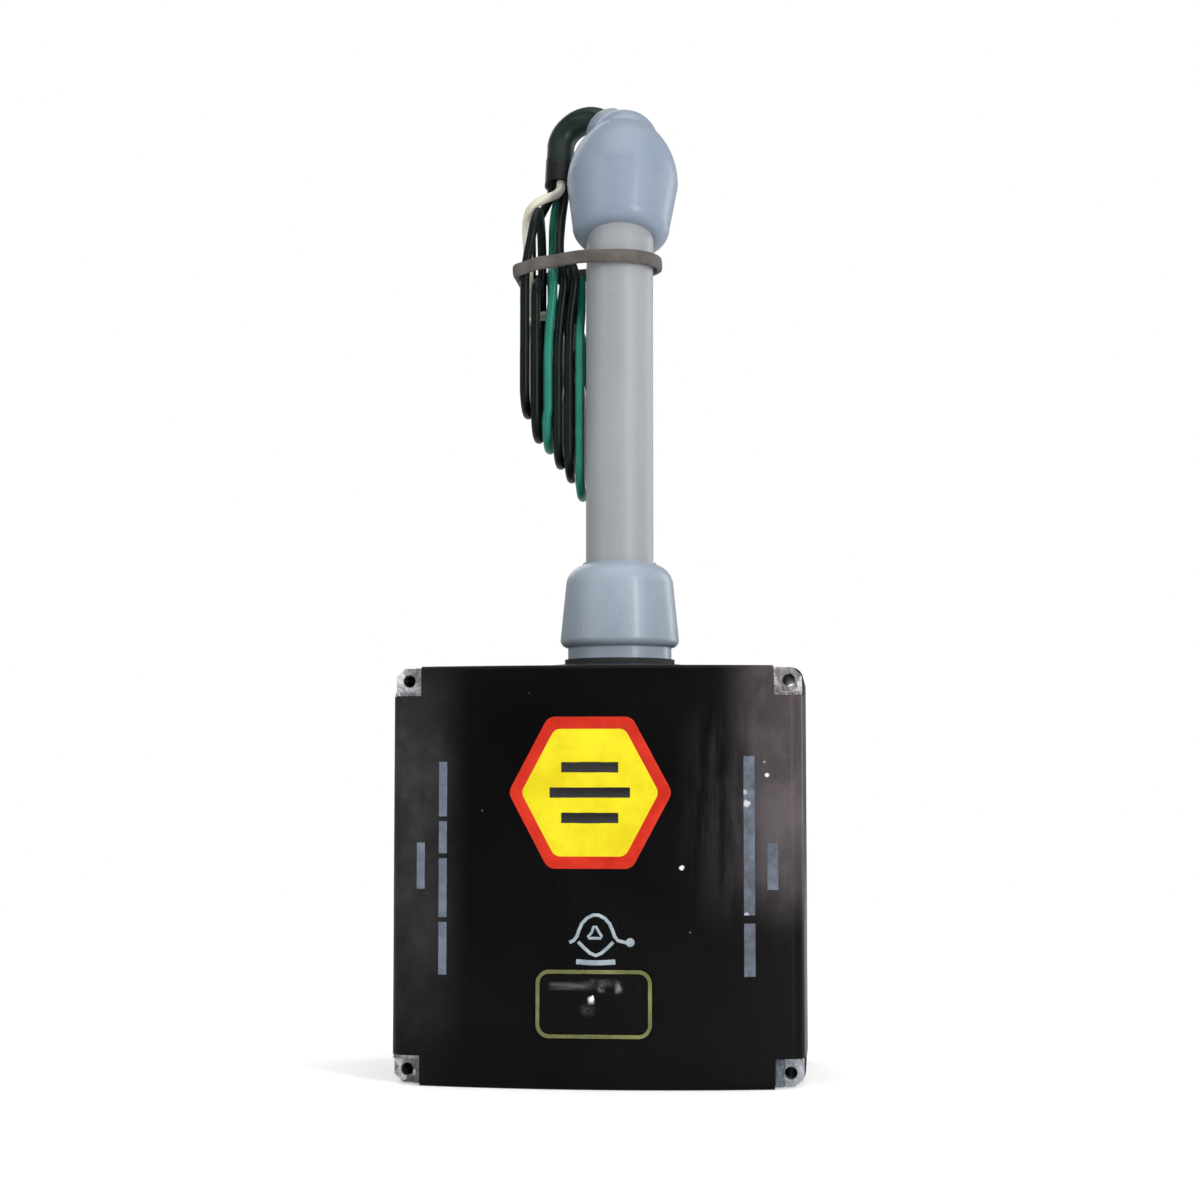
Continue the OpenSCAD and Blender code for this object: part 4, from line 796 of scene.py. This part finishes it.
# The band's middle line seen from above, in even steps round what it holds
def bandPlan():
    grow = band["gap"] + band["halfThick"]
    around = [p for y, radius in band["conduit"] for p in circlePoints(0, y, radius + grow)]
    around += [p for x, y in band["hankCorners"]
               for p in circlePoints(x, y, band["hankCorner"] + grow, band["cornerPoints"])]
    hull = [around[i] for i in convex_hull_2d(around)]
    lengths = [(hull[(i + 1) % len(hull)] - hull[i]).length for i in range(len(hull))]
    loop, walked, corner = [], 0.0, 0
    for k in range(band["stations"]):
        wanted = sum(lengths) * k / band["stations"]
        while walked + lengths[corner] < wanted:
            walked += lengths[corner]
            corner += 1
        share = (wanted - walked) / lengths[corner]
        loop.append(hull[corner].lerp(hull[(corner + 1) % len(hull)], share))
    return loop


# A cosine or sine with its sign kept and its size raised to a power, for squarer corners
def squared(value, power):
    return math.copysign(abs(value) ** power, value)


loop = bandPlan()
stations, sides = band["stations"], band["sides"]
vertices, faces = [], []
for k, here in enumerate(loop):
    along = (loop[(k + 1) % stations] - loop[k - 1]).normalized()
    out = Vector((along[1], -along[0]))
    if out.dot(here - Vector(band["inside"])) < 0:
        out = -out
    lean = math.sin(math.tau * band["waves"] * k / stations + band["phase"])
    for j in range(sides):
        angle = math.tau * j / sides
        across = band["halfThick"] * squared(math.cos(angle), band["squareAcross"])
        up = band["halfTall"] * squared(math.sin(angle), band["squareUp"])
        place = here + out * (across * (1 - band["uneven"] * math.cos(2 * angle + lean)))
        vertices.append((place[0] + lead["stemX"], place[1],
                         band["height"] + bandRise(here[0]) + up))
for k in range(stations):
    a, b = k * sides, (k + 1) % stations * sides
    for j in range(sides):
        faces.append((a + j, a + (j + 1) % sides, b + (j + 1) % sides, b + j))
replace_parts(addMesh("bundle_band", vertices, faces, materials["band_rubber"]),
            "rubber_band")
print("surge protector: band")

# Badge: a rim, a field inside it and three bars
badge = {
    "centre": (-0.0012, 0.0874),
    "corners": ((-0.0125, -0.0225), (0.0125, -0.0225), (0.0245, 0.0), (0.0125, 0.0225),
                (-0.0125, 0.0225), (-0.0245, 0.0)),
    "radius": 0.0035, "thick": 0.0003, "inset": 0.02,
    "rim": (0.0, 0.8, 1.0), "rimHollow": 0.84,           # heights as shares of the thickness
    "field": (0.0, 0.5, 0.6), "fieldSize": 0.87,
    "bars": ((0.017, 0.0075), (0.024, 0.0), (0.017, -0.0075)),     # length and place up
    "barParts": 8, "barWidth": 0.0032, "barHeight": 0.95,
    "red": dict(dark=(0.5, 0.016, 0.006), light=(0.66, 0.03, 0.01), worn=(0.7, 0.12, 0.06),
                rough=(0.35, 0.5), broad=90.0, bump=0.12, specular=0.2, round=0),
    "yellow": dict(dark=(0.74, 0.6, 0.006), light=(0.86, 0.75, 0.015), worn=(0.9, 0.8, 0.2),
                   rough=(0.35, 0.5), broad=80.0, bump=0.12, specular=0.2, round=0),
    "ink": dict(dark=(0.008, 0.008, 0.008), light=(0.02, 0.02, 0.02), worn=(0.1, 0.1, 0.1),
                round=0),
}
badgeRed, badgeYellow, badgeInk = (makeFinish("badge_" + tone, badge[tone])
                                   for tone in ("red", "yellow", "ink"))
outline = roundedOutline(badge["corners"], badge["radius"])
plaque("badge_rim", badge["centre"], outline, badge["inset"],
       [badge["thick"] * share for share in badge["rim"]], badgeRed,
       hollow=badge["rimHollow"])
plaque("badge_field", badge["centre"], [p * badge["fieldSize"] for p in outline], badge["inset"],
       [badge["thick"] * share for share in badge["field"]], badgeYellow)
for i, (length, rise) in enumerate(badge["bars"]):
    middleX, middleZ = badge["centre"]
    line = [(middleX + length * (k / badge["barParts"] - 0.5), middleZ + rise)
            for k in range(badge["barParts"] + 1)]
    ribbon("badge_bar_%d" % (i + 1), line, badge["barWidth"], badge["thick"] * badge["barHeight"],
           badgeInk)
print("surge protector: badge")

# Bell mark over the window, its lines given from the middle of its base bar
bell = {
    "middle": (0.0006, 0.0372),
    "line": 0.001, "thick": 0.00018,
    "widths": {"bell_base": 1.5, "bell_tongue": 0.8},     # shares of the line's width
    "dot": (0.0102, 0.0061), "dotRadius": 0.0013, "dotPoints": 16, "dotInset": 0.12,
    "dotHeights": (0.0, 1.0, 1.2),
    "print": dict(dark=(0.24, 0.3, 0.35), light=(0.42, 0.5, 0.54), worn=(0.12, 0.13, 0.14),
                  rough=(0.35, 0.5), broad=260.0, round=0),
    "marks": {
        "bell_dome": [(-0.0078, 0.0060), (-0.0066, 0.0066), (-0.0056, 0.0078), (-0.005, 0.0096),
                      (-0.0041, 0.0116), (-0.0026, 0.0132), (-0.0008, 0.0141), (0.0008, 0.0141),
                      (0.0026, 0.0132), (0.0041, 0.0116), (0.005, 0.0096), (0.0056, 0.0078),
                      (0.0066, 0.0066), (0.0092, 0.0060)],
        "bell_skirt": [(-0.0052, 0.0062), (-0.0036, 0.0046), (-0.0018, 0.003), (0, 0.0022),
                       (0.0018, 0.003), (0.0036, 0.0046), (0.0052, 0.0062)],
        "bell_base": [(-0.0058 + 0.0116 * k / 6, 0.0004 - 0.0003 * math.sin(math.pi * k / 6))
                      for k in range(7)],
        "bell_tongue": [(-0.0023, 0.0077), (-0.0012, 0.009), (-0.0006, 0.0107),
                        (0.0001, 0.0107), (0.001, 0.009), (0.0018, 0.0079), (0.0015, 0.0073),
                        (-0.002, 0.0073)],
    },
}
bellPrint = makeFinish("bell_print", bell["print"])
middleX, middleZ = bell["middle"]
for name, points in bell["marks"].items():
    ribbon(name, [(middleX + x, middleZ + z) for x, z in points],
           bell["line"] * bell["widths"].get(name, 1.0), bell["thick"], bellPrint,
           closed=name == "bell_tongue")
dot = [Vector((math.cos(a), math.sin(a))) * bell["dotRadius"]
       for a in (math.tau * k / bell["dotPoints"] for k in range(bell["dotPoints"]))]
plaque("bell_dot", (middleX + bell["dot"][0], middleZ + bell["dot"][1]), dot, bell["dotInset"],
       [bell["thick"] * share for share in bell["dotHeights"]], bellPrint)
print("surge protector: bell mark")

# Stage
stage = {
    "white": (1, 1, 1, 1),
    "ambient": 0.4,
    "mirrored": 0.3,                        # the studio as it shows in polished faces
    "floor": (0.86, 0.86, 0.86, 1), "lift": 0.35, "reach": 6.0,
    "nearFloor": 0.25, "farFloor": 1.1,     # between these the lit floor turns to plain white
    "lamps": (
        # name, place, aim, width, height, watts, colour
        ("lamp_left", (-1.15, -0.9, 0.7), (0, 0, 0.16), 0.7, 1.3, 4.5, (1.0, 0.99, 0.98)),
        ("lamp_right", (0.8, -0.98, 0.5), (0, 0, 0.16), 0.22, 1.1, 11, (1.0, 0.99, 0.98)),
        ("lamp_rim", (0.7, 0.6, 0.3), (0, 0, 0.15), 0.25, 0.8, 2.2, (1.0, 1.0, 1.0)),
        ("lamp_top", (0.1, -0.2, 1.5), (0, 0, 0.1), 1.2, 1.2, 8, (1.0, 1.0, 1.0)),
        ("lamp_back", (-0.5, 1.2, 0.9), (0, 0, 0.15), 1.0, 0.8, 5, (0.98, 0.99, 1.0)),
    ),
}


def addLamp(name, place, aim, width, height, watts, colour):
    lamp = bpy.data.objects.new(name, bpy.data.lights.new(name, "AREA"))
    scene.collection.objects.link(lamp)
    lamp.location = place
    lamp.rotation_mode = "QUATERNION"
    lamp.rotation_quaternion = (Vector(aim) - Vector(place)).to_track_quat("-Z", "Y")
    lamp.data.shape = "RECTANGLE"
    lamp.data.size, lamp.data.size_y = width, height
    lamp.data.energy, lamp.data.color = watts, colour


for settings in stage["lamps"]:
    addLamp(*settings)


# What kind of ray meets the world or the floor, and whether the camera sees it plainly
def rayKinds(tree):
    rays = put(tree, "ShaderNodeLightPath").outputs
    return rays, maths(tree, "MAXIMUM", rays["Is Camera Ray"], rays["Is Transmission Ray"])


def glow(tree, kind, strength):
    return put(tree, kind, {"Color": stage["white"], "Strength": strength}).outputs[0]


def mixShaders(tree, share, a, b):
    return put(tree, "ShaderNodeMixShader", {0: share, 1: a, 2: b}).outputs[0]


world = bpy.data.worlds.new("studio")
scene.world = world
world.use_nodes = True
tree = world.node_tree
tree.nodes.clear()
rays, seen = rayKinds(tree)
soft, mirrored, plain = (glow(tree, "ShaderNodeBackground", strength)
                         for strength in (stage["ambient"], stage["mirrored"], 1.0))
lit = mixShaders(tree, rays["Is Glossy Ray"], soft, mirrored)
put(tree, "ShaderNodeOutputWorld", {"Surface": mixShaders(tree, seen, lit, plain)})

floorMaterial = bpy.data.materials.new("studio_floor")
floorMaterial.use_nodes = True
tree = floorMaterial.node_tree
tree.nodes.clear()
seen = rayKinds(tree)[1]
away = put(tree, "ShaderNodeVectorMath", {0: objectPlace(tree)},
           operation="LENGTH").outputs["Value"]
far = maths(tree, "MULTIPLY", spread(tree, away, stage["nearFloor"], stage["farFloor"]), seen)
base = put(tree, "ShaderNodeBsdfDiffuse", {"Color": stage["floor"]}).outputs[0]
lift = glow(tree, "ShaderNodeEmission", maths(tree, "MULTIPLY", seen, stage["lift"]))
both = put(tree, "ShaderNodeAddShader", {0: base, 1: lift}).outputs[0]
faded = mixShaders(tree, far, both, glow(tree, "ShaderNodeEmission", 1.0))
put(tree, "ShaderNodeOutputMaterial", {"Surface": faded})


# One flat rectangle of the studio
def addSheet(name, corners, material):
    mesh = bpy.data.meshes.new(name)
    mesh.from_pydata(corners, [], [(0, 1, 2, 3)])
    mesh.materials.append(material)
    sheet = bpy.data.objects.new(name, mesh)
    scene.collection.objects.link(sheet)
    return sheet


reach = stage["reach"]
floor = addSheet("floor", [(-reach, -reach, 0), (reach, -reach, 0), (reach, reach, 0),
                           (-reach, reach, 0)], floorMaterial)

# A dark card behind the camera, which keeps the polished black front dark
card = {"y": -1.7, "halfWidth": 1.15, "low": 0.02, "high": 1.9, "colour": (0.01, 0.01, 0.01, 1)}
cardMaterial, tree, shader = newMaterial("studio_card", 0.0, 0.0)
shader.inputs["Base Color"].default_value = card["colour"]
shader.inputs["Roughness"].default_value = 1.0
darkCard = addSheet("dark_card", [(side * card["halfWidth"], card["y"], card[end]) for side, end in
                                  ((-1, "low"), (1, "low"), (1, "high"), (-1, "high"))],
                    cardMaterial)
darkCard.visible_camera = False
darkCard.visible_diffuse = False
darkCard.visible_shadow = False

scene.view_settings.view_transform = "Standard"
print("surge protector: stage and lamps")
